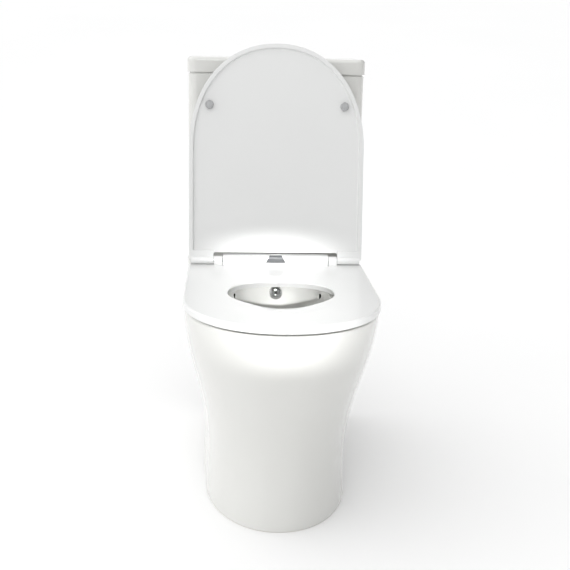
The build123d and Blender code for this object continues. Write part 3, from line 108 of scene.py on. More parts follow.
def loft(name: str, loops: Sequence[Loop], ring: bool = False) -> Mesh:
    """Skin a stack of outlines that have the same number of points.

    Args:
        name: The object's name.
        loops: Outlines in order.
        ring: Join the last outline to the first, which makes a hoop with no caps.

    Returns:
        A closed mesh object with its faces outwards.
    """
    count, turns = len(loops[0]), len(loops)
    faces: list[tuple[int, ...]] = []
    for level in range(turns if ring else turns - 1):
        base, top = level * count, (level + 1) % turns * count
        faces += [(base + i, base + (i + 1) % count, top + (i + 1) % count, top + i) for i in range(count)]
    if not ring:
        faces.append(tuple(range(count))[::-1])
        faces.append(tuple((turns - 1) * count + i for i in range(count)))
    obj = new_object(name, np.concatenate(loops), faces)
    work = bmesh.new()
    work.from_mesh(obj.data)
    bmesh.ops.remove_doubles(work, verts=work.verts, dist=1e-4)
    bmesh.ops.recalc_face_normals(work, faces=work.faces)
    work.to_mesh(obj.data)
    work.free()
    return obj


def lathe(name: str, profile: Sequence[tuple[float, float]], place: Matrix, segments: int = 96) -> Mesh:
    """Turn a profile about the local Z axis.

    Args:
        name: The object's name.
        profile: Radius and height of each point, from axis to axis, or a closed hoop away from it.
        place: Where the local frame goes.
        segments: Points round the axis.

    Returns:
        A closed mesh object.
    """
    angles = np.linspace(0, 2 * math.pi, segments, endpoint=False)
    hoop = min(radius for radius, _ in profile) > 0.01
    loops = []
    for radius, height in profile:
        reach = max(radius, 0.01)
        loops.append(np.column_stack([reach * np.cos(angles), reach * np.sin(angles), np.full(segments, height)]))
    obj = loft(name, loops, ring=hoop)
    obj.data.transform(place)
    return obj


def combine(target: Mesh, tools: Iterable[Mesh], how: Cut) -> Mesh:
    """Combine solid meshes one after another, and drop the tools.

    Args:
        target: The mesh that changes.
        tools: The meshes that join it or cut it.
        how: The way to combine them.

    Returns:
        The target.
    """
    for tool in tools:
        modifier = target.modifiers.new("combine", "BOOLEAN")
        modifier.operation = how.value
        modifier.solver = "MANIFOLD"
        modifier.object = tool
        graph = bpy.context.evaluated_depsgraph_get()
        result = bpy.data.meshes.new_from_object(target.evaluated_get(graph))
        if not result.polygons:
            raise RuntimeError(f"{target.name}: combining with {tool.name} left nothing")
        target.modifiers.remove(modifier)
        target.data = result
        bpy.data.objects.remove(tool)
    return target


def soften(obj: Mesh, angle: float = SMOOTH_ANGLE) -> Mesh:
    """Shade a mesh smooth up to an angle, with its large faces kept flat."""
    work = bmesh.new()
    work.from_mesh(obj.data)
    bmesh.ops.dissolve_degenerate(work, edges=work.edges, dist=1e-3)
    for face in work.faces:
        face.smooth = True
    for edge in work.edges:
        edge.smooth = edge.calc_face_angle(math.pi) < angle
    work.to_mesh(obj.data)
    work.free()
    modifier = obj.modifiers.new("normals", "WEIGHTED_NORMAL")
    modifier.keep_sharp = True
    modifier.weight = 90
    graph = bpy.context.evaluated_depsgraph_get()
    result = bpy.data.meshes.new_from_object(obj.evaluated_get(graph))
    obj.modifiers.remove(modifier)
    obj.data = result
    return obj


def block(low: Sequence[float], high: Sequence[float], radius: float = 0.0) -> Mesh:
    """A solid between two corners, as a cutting or joining tool.

    Args:
        low: Its lowest corner.
        high: Its highest corner.
        radius: Radius of its upright edges.

    Returns:
        The closed mesh object.
    """
    (x0, y0, z0), (x1, y1, z1) = low, high
    if radius:
        loop = rounded_rectangle(x0, x1, y0, y1, radius, radius, side=2)
    else:
        loop = np.array([(x1, y1), (x0, y1), (x0, y0), (x1, y0)])
    return loft("block", [at_height(loop, z0), at_height(loop, z1)])


def bar(start: Sequence[float], end: Sequence[float], radius: float, segments: int = 64) -> Mesh:
    """A round solid between two points."""
    first, way = Vector(start), Vector(end) - Vector(start)
    place = Matrix.Translation(first) @ way.to_track_quat("Z", "Y").to_matrix().to_4x4()
    return lathe("bar", [(0, 0), (radius, 0), (radius, way.length), (0, way.length)], place, segments)


def quarter(steps: int) -> list[tuple[float, float]]:
    """Sine and one minus cosine over a quarter turn, for rounding an edge."""
    return [(math.sin(a), 1 - math.cos(a)) for a in (math.pi / 2 * i / steps for i in range(steps + 1))]


# ------------------------------------------------------------------ outlines
def at_height(flat: Loop, z: float) -> Loop:
    """Lift a flat outline to a height."""
    return np.column_stack([flat[:, 0], flat[:, 1], np.full(len(flat), z)])


def ease(share: float) -> float:
    """Ease in and out between 0 and 1."""
    share = min(max(share, 0.0), 1.0)
    return share * share * (3 - 2 * share)


def superellipse(half_x: float, middle_y: float, half_y: float, power: float, angles: np.ndarray) -> Loop:
    """Flat points of a superellipse at the given angles from +X."""
    c, s = np.cos(angles), np.sin(angles)
    x = half_x * np.sign(c) * np.abs(c) ** (2 / power)
    y = middle_y + half_y * np.sign(s) * np.abs(s) ** (2 / power)
    return np.column_stack([x, y])


def oval(half_x: float, front_y: float, rear_y: float, power: float, count: int = 192) -> Loop:
    """A closed superellipse between a front and a rear."""
    angles = np.linspace(0, 2 * math.pi, count, endpoint=False)
    return superellipse(half_x, (front_y + rear_y) / 2, (rear_y - front_y) / 2, power, angles)


def corner(centre: tuple[float, float], radius: float, start: float, steps: int) -> Loop:
    """A quarter circle of an outline, anticlockwise from a start angle."""
    a = start + np.linspace(0, math.pi / 2, steps)
    return np.column_stack([centre[0] + radius * np.cos(a), centre[1] + radius * np.sin(a)])


def run(start: tuple[float, float], end: tuple[float, float], steps: int) -> Loop:
    """Points strictly between two ends of a straight side."""
    t = np.linspace(0, 1, steps + 2)[1:-1, None]
    return np.array(start) * (1 - t) + np.array(end) * t


def rounded_rectangle(
    x0: float, x1: float, y0: float, y1: float, front: float, rear: float, steps: int = 11, side: int = 24
) -> Loop:
    """Rectangle with rounded corners, anticlockwise from its rear right corner.

    Args:
        x0: Left side.
        x1: Right side.
        y0: Front side.
        y1: Rear side.
        front: Radius of the two front corners.
        rear: Radius of the two rear corners.
        steps: Points on each corner.
        side: Points on each straight side.

    Returns:
        The flat outline.
    """
    return np.concatenate([
        corner((x1 - rear, y1 - rear), rear, 0, steps),
        run((x1 - rear, y1), (x0 + rear, y1), side),
        corner((x0 + rear, y1 - rear), rear, math.pi / 2, steps),
        run((x0, y1 - rear), (x0, y0 + front), side),
        corner((x0 + front, y0 + front), front, math.pi, steps),
        run((x0 + front, y0), (x1 - front, y0), side),
        corner((x1 - front, y0 + front), front, 1.5 * math.pi, steps),
        run((x1, y0 + front), (x1, y1 - rear), side),
    ])


@dataclass
class DOutline:
    """Outline with a rounded nose in front, two long sides and a straight rear.

    Attributes:
        half_width: Half width where the nose ends.
        rear_half: Half width of the rear part.
        front_y: Front of the nose.
        nose: Length of the nose.
        flat_y: Where the sides reach the rear width.
        rear_y: The rear side.
        radius: Radius of the two rear corners.
        power: Superellipse power of the nose.
    """

    half_width: float
    rear_half: float
    front_y: float
    nose: float
    flat_y: float
    rear_y: float
    radius: float = 4.0
    power: float = 2.1

    def points(self, z: float, inset: float = 0.0) -> Loop:
        """The outline at a height, from the nose's right end round the front.

        Args:
            z: The height.
            inset: How far it is set in.

        Returns:
            One point a row.
        """
        a, b = self.half_width - inset, self.rear_half - inset
        side_y = self.front_y + self.nose
        rear, r = self.rear_y - inset, max(self.radius - inset, 0.4)
        nose = superellipse(a, side_y, self.nose - inset, self.power, np.linspace(0, -math.pi, 121))
        t = np.linspace(0, 1, 26)[1:]
        left = np.column_stack([-(a + (b - a) * t * t * (3 - 2 * t)), side_y + (self.flat_y - side_y) * t])
        flat = np.concatenate([
            nose,
            left,
            run((-b, self.flat_y), (-b, rear - r), 30),
            corner((-b + r, rear - r), r, math.pi / 2, 8)[::-1],
            run((-b + r, rear), (b - r, rear), 30),
            corner((b - r, rear - r), r, 0, 8)[::-1],
            run((b, rear - r), (b, self.flat_y), 30),
            (left * (-1, 1))[::-1],
        ])
        return at_height(flat, z)


def polar(flat: Loop, centre_y: float, angles: np.ndarray) -> Loop:
    """Where rays from a centre on the middle plane cross an outline.

    Args:
        flat: The outline; its first two columns are used.
        centre_y: The centre's place along Y.
        angles: Directions of the rays.

    Returns:
        One flat point for each ray.
    """
    x, y = flat[:, 0], flat[:, 1] - centre_y
    own = np.arctan2(y, x)
    order = np.argsort(own)
    own, reach = own[order], np.hypot(x, y)[order]
    turn = 2 * math.pi
    own = np.concatenate([own - turn, own, own + turn])
    distance = np.interp((angles + math.pi) % turn - math.pi, own, np.tile(reach, 3))
    return np.column_stack([distance * np.cos(angles), distance * np.sin(angles) + centre_y])


def bent_path(points: Sequence[tuple[float, float]], radius: float) -> Loop:
    """Line through corners that are rounded with arcs, in the middle plane.

    Args:
        points: Y and Z of each corner.
        radius: Radius of each bend.

    Returns:
        Points along the line.
    """
    corners = [np.array(p, float) for p in points]
    path = [corners[0]]
    for before, here, after in zip(corners, corners[1:], corners[2:]):
        a = (before - here) / np.linalg.norm(before - here)
        b = (after - here) / np.linalg.norm(after - here)
        half = math.acos(float(np.clip(a @ b, -1, 1))) / 2
        middle = here + (a + b) / np.linalg.norm(a + b) * radius / math.sin(half)
        start = here + a * radius / math.tan(half) - middle
        end = here + b * radius / math.tan(half) - middle
        turn = math.atan2(start[0] * end[1] - start[1] * end[0], float(start @ end))
        for t in np.linspace(0, 1, 14):
            c, s = math.cos(turn * t), math.sin(turn * t)
            path.append(middle + np.array([c * start[0] - s * start[1], s * start[0] + c * start[1]]))
    path.append(corners[-1])
    return np.array([(0.0, y, z) for y, z in path])


def pipe(name: str, path: Loop, radius: float, segments: int = 64) -> Mesh:
    """A round solid along a line in the middle plane."""
    angles = np.linspace(0, 2 * math.pi, segments, endpoint=False)
    loops = []
    for point, tangent in zip(path, np.gradient(path, axis=0)):
        tangent = tangent / np.linalg.norm(tangent)
        up = np.cross((1.0, 0.0, 0.0), tangent)
        loops.append(point + radius * (np.cos(angles)[:, None] * (1.0, 0.0, 0.0) + np.sin(angles)[:, None] * up))
    return loft(name, loops)


# ------------------------------------------------------------------ flush ports
@dataclass(frozen=True)
class Port:
    """The right one of the two oval flush ports, which slope from the rim's channel into the bowl."""

    start_x: float = 104.4
    y: float = 0.0
    z: float = 396.0
    half_along: float = 6.5
    half_across: float = 4.0
    reach: float = 45.0
    tilt: float = math.radians(30)

    def solid(self, side: int) -> Mesh:
        """The port's space on one side."""
        angles = np.linspace(0, 2 * math.pi, 48, endpoint=False)
        across, along = self.half_across * np.sin(angles), self.half_along * np.cos(angles)
        loops = []
        for reach in (0.0, self.reach):
            x = self.start_x - reach * math.cos(self.tilt) - across * math.sin(self.tilt)
            z = self.z - reach * math.sin(self.tilt) + across * math.cos(self.tilt)
            loops.append(np.column_stack([side * x, self.y + along, z]))
        return loft("port", loops)


PORT = Port()


# ------------------------------------------------------------------ finishes
class Shader:
    """Builder of one material's nodes."""

    def __init__(self, name: str) -> None:
        """Start a material with an empty Principled surface."""
        self.material = bpy.data.materials.new(name)
        self.material.use_nodes = True
        self.tree = self.material.node_tree
        self.surface = self.tree.nodes["Principled BSDF"]
        self.place = self.add("ShaderNodeTexCoord").outputs["Object"]

    def add(self, kind: str, **values: object) -> bpy.types.Node:
        """Add a node; names of sockets or settings give their values."""
        node = self.tree.nodes.new(kind)
        for key, value in values.items():
            if key in node.inputs:
                node.inputs[key].default_value = value
            else:
                setattr(node, key, value)
        return node

    def link(self, source: bpy.types.NodeSocket, target: bpy.types.NodeSocket) -> None:
        """Join two sockets."""
        self.tree.links.new(source, target)

    def set(self, socket: str, value: object) -> None:
        """Set a constant on the surface."""
        self.surface.inputs[socket].default_value = value

    def noise(
        self, scale: float, detail: float = 3.0, stretch: tuple[float, float, float] = (1, 1, 1)
    ) -> bpy.types.NodeSocket:
        """Noise through the object's own space, in features per metre."""
        mapping = self.add("ShaderNodeMapping", Scale=stretch)
        self.link(self.place, mapping.inputs["Vector"])
        node = self.add("ShaderNodeTexNoise", Scale=scale, Detail=detail)
        self.link(mapping.outputs["Vector"], node.inputs["Vector"])
        return node.outputs["Fac"]

    def spread(
        self, source: bpy.types.NodeSocket, low: float, high: float, around: float = 0.18
    ) -> bpy.types.NodeSocket:
        """Map noise near its middle to a range."""
        node = self.add("ShaderNodeMapRange")
        node.inputs["From Min"].default_value = 0.5 - around
        node.inputs["From Max"].default_value = 0.5 + around
        node.inputs["To Min"].default_value = low
        node.inputs["To Max"].default_value = high
        self.link(source, node.inputs["Value"])
        return node.outputs["Result"]

    def tint(
        self, source: bpy.types.NodeSocket, first: Sequence[float], second: Sequence[float]
    ) -> bpy.types.NodeSocket:
        """Mix two colours by a value."""
        node = self.add("ShaderNodeMix", data_type="RGBA")
        node.inputs[6].default_value = (*first, 1)
        node.inputs[7].default_value = (*second, 1)
        self.link(source, node.inputs[0])
        return node.outputs[2]

    def bump(self, source: bpy.types.NodeSocket, depth: float, strength: float = 1.0) -> None:
        """Raise the surface by a value times a depth in metres."""
        node = self.add("ShaderNodeBump", Strength=strength, Distance=depth)
        self.link(source, node.inputs["Height"])
        self.link(node.outputs["Normal"], self.surface.inputs["Normal"])


@dataclass(frozen=True)
class GlazedChina:
    """White vitreous china under a clear glaze, raw and rough where it stands on the floor, with near-black painted
    shade inside the two flush ports.
    """

    colour: tuple[float, float, float] = (0.71, 0.712, 0.69)
    shade: tuple[float, float, float] = (0.695, 0.695, 0.67)
    raw: tuple[float, float, float] = (0.62, 0.59, 0.53)
    # Near-black painted shade for the inside of the flush ports, standing in for the dark of the deep holes.
    painted_port_shade: tuple[float, float, float] = (0.03, 0.03, 0.028)
    roughness: float = 0.10
    foot_height: float = 0.0022
    port_margin: float = 1.08
    port_middle: float = 0.104
    port_half: float = 0.021

    def inside_ports(self, s: Shader, parts: bpy.types.Node) -> bpy.types.NodeSocket:
        """One inside the two flush ports, where the near-black painted shade goes, and nothing elsewhere."""
        rise = math.tan(PORT.tilt)
        across = s.add("ShaderNodeMath", operation="ABSOLUTE")
        s.link(parts.outputs["X"], across.inputs[0])
        fall = s.add("ShaderNodeMath", operation="MULTIPLY_ADD")
        s.link(across.outputs[0], fall.inputs[0])
        fall.inputs[1].default_value = -rise
        fall.inputs[2].default_value = (PORT.start_x * rise - PORT.z) * MM
        height = s.add("ShaderNodeMath", operation="ADD")
        s.link(fall.outputs[0], height.inputs[0])
        s.link(parts.outputs["Z"], height.inputs[1])
        flat = s.add("ShaderNodeCombineXYZ")
        for source, socket in ((parts.outputs["Y"], "X"), (height.outputs[0], "Y")):
            s.link(source, flat.inputs[socket])
        size = s.add("ShaderNodeVectorMath", operation="MULTIPLY")
        s.link(flat.outputs[0], size.inputs[0])
        size.inputs[1].default_value = (1 / (PORT.half_along * MM), math.cos(PORT.tilt) / (PORT.half_across * MM), 0)
        reach = s.add("ShaderNodeVectorMath", operation="LENGTH")
        s.link(size.outputs[0], reach.inputs[0])
        within = s.add("ShaderNodeMath", operation="LESS_THAN")
        s.link(reach.outputs["Value"], within.inputs[0])
        within.inputs[1].default_value = self.port_margin
        side = s.add("ShaderNodeMath", operation="COMPARE")
        s.link(across.outputs[0], side.inputs[0])
        side.inputs[1].default_value, side.inputs[2].default_value = self.port_middle, self.port_half
        both = s.add("ShaderNodeMath", operation="MULTIPLY")
        s.link(within.outputs[0], both.inputs[0])
        s.link(side.outputs[0], both.inputs[1])
        return both.outputs[0]

    def build(self, name: str) -> bpy.types.Material:
        """Make the material."""
        s = Shader(name)
        tone = s.tint(s.spread(s.noise(9, 4), 0, 1, 0.5), self.colour, self.shade)
        parts = s.add("ShaderNodeSeparateXYZ")
        s.link(s.place, parts.inputs["Vector"])
        raw = s.add("ShaderNodeMapRange")
        for socket, value in (("From Min", self.foot_height), ("From Max", 0.0), ("To Min", 0.0), ("To Max", 1.0)):
            raw.inputs[socket].default_value = value
        s.link(parts.outputs["Z"], raw.inputs["Value"])
        mix = s.add("ShaderNodeMix", data_type="RGBA")
        s.link(raw.outputs["Result"], mix.inputs[0])
        s.link(tone, mix.inputs[6])
        mix.inputs[7].default_value = (*self.raw, 1)
        # Painted shade: the inside of each flush port is coloured near black instead of lit china.
        painted_port_shade = s.add("ShaderNodeMix", data_type="RGBA")
        s.link(self.inside_ports(s, parts), painted_port_shade.inputs[0])
        s.link(mix.outputs[2], painted_port_shade.inputs[6])
        painted_port_shade.inputs[7].default_value = (*self.painted_port_shade, 1)
        s.link(painted_port_shade.outputs[2], s.surface.inputs["Base Color"])
        s.link(s.spread(s.noise(34, 3), self.roughness * 0.8, self.roughness * 1.3), s.surface.inputs["Roughness"])
        s.set("IOR", 1.52)
        s.set("Coat Weight", 0.55)
        s.set("Coat Roughness", 0.03)
        s.bump(s.noise(26, 2), 0.00022)
        return s.material


@dataclass(frozen=True)
class MouldedPlastic:
    """Moulded plastic with a fine grain and a slightly uneven gloss."""

    colour: tuple[float, float, float]
    roughness: float = 0.3
    coat: float = 0.0
    grain: float = 900.0
    depth: float = 0.00001

    def build(self, name: str) -> bpy.types.Material:
        """Make the material."""
        s = Shader(name)
        darker = tuple(c * 0.98 for c in self.colour)
        s.link(s.tint(s.spread(s.noise(7, 1), 0, 1, 0.5), self.colour, darker), s.surface.inputs["Base Color"])
        s.link(s.spread(s.noise(9, 1), self.roughness * 0.9, self.roughness * 1.1, 0.5), s.surface.inputs["Roughness"])
        s.set("IOR", 1.49)
        s.set("Coat Weight", self.coat)
        s.set("Coat Roughness", 0.08)
        s.bump(s.noise(self.grain, 2), self.depth)
        return s.material


@dataclass(frozen=True)
class Rubber:
    """Soft rubber or closed-cell foam with a dull, pitted skin."""

    colour: tuple[float, float, float]
    roughness: float = 0.7
    grain: float = 1400.0
    depth: float = 0.00004

    def build(self, name: str) -> bpy.types.Material:
        """Make the material."""
        s = Shader(name)
        lighter = tuple(min(c * 1.25 + 0.01, 1.0) for c in self.colour)
        s.link(s.tint(s.spread(s.noise(220, 4), 0, 1), self.colour, lighter), s.surface.inputs["Base Color"])
        s.link(s.spread(s.noise(90, 3), self.roughness * 0.85, self.roughness * 1.1), s.surface.inputs["Roughness"])
        s.set("Specular IOR Level", 0.35)
        s.bump(s.noise(self.grain, 3), self.depth)
        return s.material


@dataclass(frozen=True)
class PolishedMetal:
    """Plated or turned metal, with fine lines along one way and a little dulling."""

    colour: tuple[float, float, float]
    roughness: float = 0.08
    lines: float = 500.0
    stretch: tuple[float, float, float] = (1, 1, 0.08)
    depth: float = 0.000004

    def build(self, name: str) -> bpy.types.Material:
        """Make the material."""
        s = Shader(name)
        darker = tuple(c * 0.86 for c in self.colour)
        s.link(s.tint(s.spread(s.noise(45, 4), 0, 1), self.colour, darker), s.surface.inputs["Base Color"])
        s.set("Metallic", 1.0)
        worn = s.noise(120, 4, self.stretch)
        s.link(s.spread(worn, self.roughness * 0.7, self.roughness * 1.6), s.surface.inputs["Roughness"])
        s.bump(s.noise(self.lines, 2, self.stretch), self.depth)
        return s.material


FINISHES = {
    "vitreous_china": GlazedChina(),
    "seat_plastic": MouldedPlastic((0.76, 0.765, 0.76), roughness=0.26, coat=0.3, grain=420, depth=0.0000003),
    "grey_plastic": MouldedPlastic((0.115, 0.12, 0.125), roughness=0.42, depth=0.00002),
    "grey_rubber": Rubber((0.36, 0.365, 0.37), roughness=0.6),
    "black_rubber": Rubber((0.018, 0.018, 0.018)),
    "red_seal": Rubber((0.32, 0.035, 0.022), roughness=0.45),
    "black_foam": Rubber((0.022, 0.022, 0.023), roughness=0.9, grain=700, depth=0.0003),
    "chrome": PolishedMetal((0.72, 0.73, 0.74), roughness=0.06),
    "steel": PolishedMetal((0.50, 0.51, 0.52), roughness=0.30, lines=1500, depth=0.00001),
    "brass": PolishedMetal((0.62, 0.46, 0.19), roughness=0.26, lines=1200, depth=0.00001),
    "valve_white": MouldedPlastic((0.74, 0.74, 0.70), roughness=0.38),
    "valve_blue": MouldedPlastic((0.045, 0.16, 0.42), roughness=0.36),
}
MATERIALS = {name: finish.build(name) for name, finish in FINISHES.items()}


def dress(obj: Mesh, name: str, body: Body, slot: str, nodes: Sequence[str], angle: float = SMOOTH_ANGLE) -> Mesh:
    """Args:
        obj: The mesh.
        name: The piece's name.
        body: The body it moves with.
        slot: The material slot of its finish.
        nodes: The construction nodes that it stands for.
        angle: Edges sharper than this stay sharp.

    Returns:
        The piece, in metres.
    """
    soften(obj, angle)
    obj.name = name
    obj.data.transform(Matrix.Scale(MM, 4))
    obj.data.materials.clear()
    obj.data.materials.append(MATERIALS[slot])
    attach(obj, body.value)
    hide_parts(*nodes)
    LOG.info("%s: %d faces on %s", name, len(obj.data.polygons), body.value)
    return obj


# ------------------------------------------------------------------ places shared by several pieces
@dataclass(frozen=True)
class Places:
    """Sizes that several pieces share, in millimetres."""

    front_y: float = -332.5
    back_y: float = 332.5
    rim_z: float = 408.0
    deck_z: float = 433.0
    deck_front_y: float = 128.0
    deck_half: float = 181.0
    valve_y: float = 256.0
    fill_x: float = -120.0
    fill_y: float = 270.0
    coupling_x: float = 75.0
    stud_x: float = 77.5
    hinge_y: float = 98.0
    hinge_z: float = 434.0
    spray_z: float = 375.0
    cover_swing: float = 98.5


AT = Places()


# ------------------------------------------------------------------ pan
@dataclass
class Bowl:
    """The bowl's space: an oval that narrows and moves back towards its sump."""

    half_width: float = 101.0
    front_y: float = -232.0
    rear_y: float = 62.0
    power: float = 2.3
    lip: float = 6.0
    dish: float = 5.0
    steps: tuple[tuple[float, float, float, float], ...] = (
        (0.0, 0.0, 0.0, 0.0),
        (23.0, 5.0, 4.0, -1.0),
        (58.0, 13.0, 24.0, 10.0),
        (108.0, 35.0, 62.0, 44.0),
        (153.0, 55.0, 102.0, 74.0),
        (196.0, 66.0, 126.0, 94.0),
    )

    def section(self, drop: float) -> tuple[float, float, float]:
        """How much narrower the oval is, and how far its front and rear come in, at a drop below the rim."""
        table = np.array(self.steps)
        drops = table[:, 0]
        slopes = np.gradient(table[:, 1:], drops, axis=0)
        i = int(np.clip(np.searchsorted(drops, drop) - 1, 0, len(drops) - 2))
        h = drops[i + 1] - drops[i]
        t = (drop - drops[i]) / h
        value = (
            (2 * t**3 - 3 * t**2 + 1) * table[i, 1:]
            + (t**3 - 2 * t**2 + t) * h * slopes[i]
            + (3 * t**2 - 2 * t**3) * table[i + 1, 1:]
            + (t**3 - t**2) * h * slopes[i + 1]
        )
        return float(value[0]), float(value[1]), float(value[2])

    def loop(self, drop: float, grow: float, z: float | None = None) -> Loop:
        """The oval at a drop below the rim, grown by a wall."""
        narrower, front, rear = self.section(drop)
        flat = oval(
            self.half_width - narrower + grow, self.front_y + front - grow, self.rear_y - rear + grow, self.power
        )
        return at_height(flat, AT.rim_z - drop if z is None else z)

    def solid(self, grow: float = 0.0) -> Mesh:
        """The bowl's space, or its outside when grown by a wall."""
        deepest = self.steps[-1][0]
        loops: list[Loop] = []
        if grow:
            loops += [self.loop(drop, grow) for drop in np.linspace(2, deepest, 40)]
            loops.append(self.loop(deepest, grow - 3, AT.rim_z - deepest - grow))
            return loft("bowl_outside", loops)
        loops.append(self.loop(0, self.lip, AT.rim_z + 2))
        for sine, rest in quarter(8):
            loops.append(self.loop(0, self.lip * (1 - sine), AT.rim_z - self.lip * rest))
        loops += [self.loop(drop, 0) for drop in np.linspace(self.lip + 1, deepest, 60)]
        for sine, rest in quarter(6)[1:]:
            loops.append(self.loop(deepest, -16 * rest, AT.rim_z - deepest - self.dish * sine))
        return loft("bowl_space", loops)


@dataclass
class Pan:
    """The ceramic pan: tapered skirt, rim, bowl, raised deck, trap and outlet.

    Attributes:
        waist_z: Height where the skirt is narrowest.
        rim_width: Width across the rim.
        widths: Front and rear widths at the foot and at the waist.
        foot_setback: How far the foot stands behind the front of the rim.
        noses: Length of the rounded nose at the foot and at the rim.
        flat_y: Where the skirt's sides become straight.
        flare_power: How late the body flares between waist and rim.
        wall: Thickness of the skirt.
        slab: Thickness of the rim.
        rim_ease: Width and height of the rim's eased outer edge.
    """

    bowl: Bowl = field(default_factory=Bowl)
    waist_z: float = 75.0
    rim_width: float = 354.0
    widths: tuple[float, float, float, float] = (280.0, 291.0, 275.0, 284.0)
    foot_setback: float = 94.5
    noses: tuple[float, float] = (218.0, 197.5)
    flat_y: float = 62.5
    flare_power: float = 1.2
    wall: float = 10.0
    slab: float = 24.0
    rim_ease: tuple[float, float] = (4.0, 8.0)
    deck_plate: float = 12.0
    deck_edge: float = 5.0
    trap_points: tuple[tuple[float, float], ...] = (
        (-68.0, 240.0), (8.0, 200.0), (66.0, 268.0), (122.0, 268.0), (178.0, 185.0), (252.0, 185.0),
    )
    trap_bore: float = 30.0
    trap_wall: float = 8.0
    outlet: tuple[float, float, float, float] = (51.0, 43.0, 242.0, 322.0)
    outlet_z: float = 185.0

    def outline(self, z: float) -> DOutline:
        """The body's outline at a height."""
        foot_front, foot_rear, waist_front, waist_rear = self.widths
        share = min(max((z - self.waist_z) / (AT.rim_z - self.waist_z), 0.0), 1.0)
        flare = ease(share**self.flare_power)
        foot = ease(1 - z / self.waist_z)
        front = waist_front + (self.rim_width - waist_front) * flare + (foot_front - waist_front) * foot
        rear = waist_rear + (2 * AT.deck_half - waist_rear) * flare + (foot_rear - waist_rear) * foot
        return DOutline(
            half_width=front / 2,
            rear_half=rear / 2,
            front_y=AT.front_y + self.foot_setback * (1 - flare),
            nose=self.noses[0] + (self.noses[1] - self.noses[0]) * share,
            flat_y=self.flat_y,
            rear_y=AT.back_y,
            radius=2.0,
        )

    def shell(self) -> Mesh:
        """Skirt and rim, hollow from below and behind, with the raised deck."""
        inward, drop = self.rim_ease
        loops = [self.outline(0).points(0, 1.6)]
        loops += [self.outline(z).points(z, i) for z, i in ((0.5, 0.6), (1.6, 0.0))]
        loops += [self.outline(z).points(z) for z in np.linspace(8, AT.rim_z - drop, 52)]
        for sine, rest in quarter(8)[1:]:
            z = AT.rim_z - drop + drop * sine
            loops.append(self.outline(z).points(z, inward * rest))
        body = combine(loft("pan", loops), [self.deck()], Cut.JOIN)
        slab_z = AT.rim_z - self.slab
        inner = [self.outline(0).points(-2, self.wall)]
        inner += [self.outline(z).points(z, self.wall) for z in np.linspace(0, slab_z, 28)]
        for loop in inner:
            loop[:, 1] = np.where(loop[:, 1] > self.flat_y + 60, loop[:, 1] + 12, loop[:, 1])
        half = AT.deck_half - self.wall
        low = (-half, AT.deck_front_y + self.wall, slab_z - 1)
        under = block(low, (half, AT.back_y + 2, AT.deck_z - self.deck_plate))
        return combine(body, [loft("hollow", inner), under], Cut.TAKE)

    def deck(self) -> Mesh:
        """The raised block that carries the cistern."""
        loops = []
        heights = [(AT.rim_z - 16, 0.12), (AT.rim_z - 8, 0.0), (AT.rim_z, 0.0), (AT.deck_z - self.deck_edge, 0.0)]
        heights += [(AT.deck_z - self.deck_edge + self.deck_edge * s, self.deck_edge * r) for s, r in quarter(6)[1:]]
        for z, inset in heights:
            half = min(AT.deck_half, self.outline(z).rear_half + (0.05 if z > AT.rim_z - 10 else 0)) - inset
            flat = rounded_rectangle(-half, half, AT.deck_front_y + inset, AT.back_y, 18 - inset, 2.0, side=40)
            loops.append(at_height(flat, z))
        return loft("deck", loops)

    def channel(self) -> Mesh:
        """The flush channel inside the rim."""
        b, inset, width, low, high = self.bowl, 11.0, 18.0, 391.0, 401.0
        loops = []
        for grow, z in ((inset, low), (inset + width, low), (inset + width, high), (inset, high)):
            loops.append(at_height(oval(b.half_width + grow, b.front_y - grow, b.rear_y + grow, b.power), z))
        return loft("channel", loops, ring=True)

    def build(self) -> Mesh:
        """Make and dress the pan."""
        path = bent_path(self.trap_points, 34.0)
        outer, bore, start, end = self.outlet
        pan = self.shell()
        joined = [self.bowl.solid(12.0), pipe("trap", path, self.trap_bore + self.trap_wall)]
        joined.append(bar((0, start, self.outlet_z), (0, end, self.outlet_z), outer, 96))
        joined.append(block((-54, AT.deck_front_y, 384), (54, 307.5, 422)))
        joined.append(bar((0, 64, AT.spray_z), (0, 78, AT.spray_z), 16))
        combine(pan, joined, Cut.JOIN)
        taken = [self.bowl.solid(), pipe("trap", path, self.trap_bore)]
        taken.append(bar((0, start + self.wall, self.outlet_z), (0, end + 2, self.outlet_z), bore, 96))
        taken.append(block((-44, 73, 394), (44, 297.5, 421)))
        taken.append(bar((0, AT.valve_y, 419), (0, AT.valve_y, 436), 41, 96))
        taken += [self.channel(), PORT.solid(-1), PORT.solid(1)]
        taken.append(bar((AT.fill_x, AT.fill_y, 419), (AT.fill_x, AT.fill_y, 436), 30, 96))
        taken.append(block((-28, 78, 347), (28, 148, 388)))
        taken.append(bar((0, 20, AT.spray_z), (0, 66, AT.spray_z), 13.5))
        taken.append(bar((0, 20, AT.spray_z), (0, 79, AT.spray_z), 8))
        for side in (-1, 1):
            taken.append(bar((side * AT.stud_x, AT.hinge_y, 382), (side * AT.stud_x, AT.hinge_y, 410), 7))
            taken.append(bar((side * AT.coupling_x, AT.valve_y, 419), (side * AT.coupling_x, AT.valve_y, 436), 6))
            taken.append(bar((side * 120, 210, 45), (side * 146, 210, 45), 4))
            taken.append(bar((side * 138.2, 210, 45), (side * 146, 210, 45), 9))
        combine(pan, taken, Cut.TAKE)
        return dress(pan, "pan_glazed", Body.PAN, "vitreous_china", ["pan"])


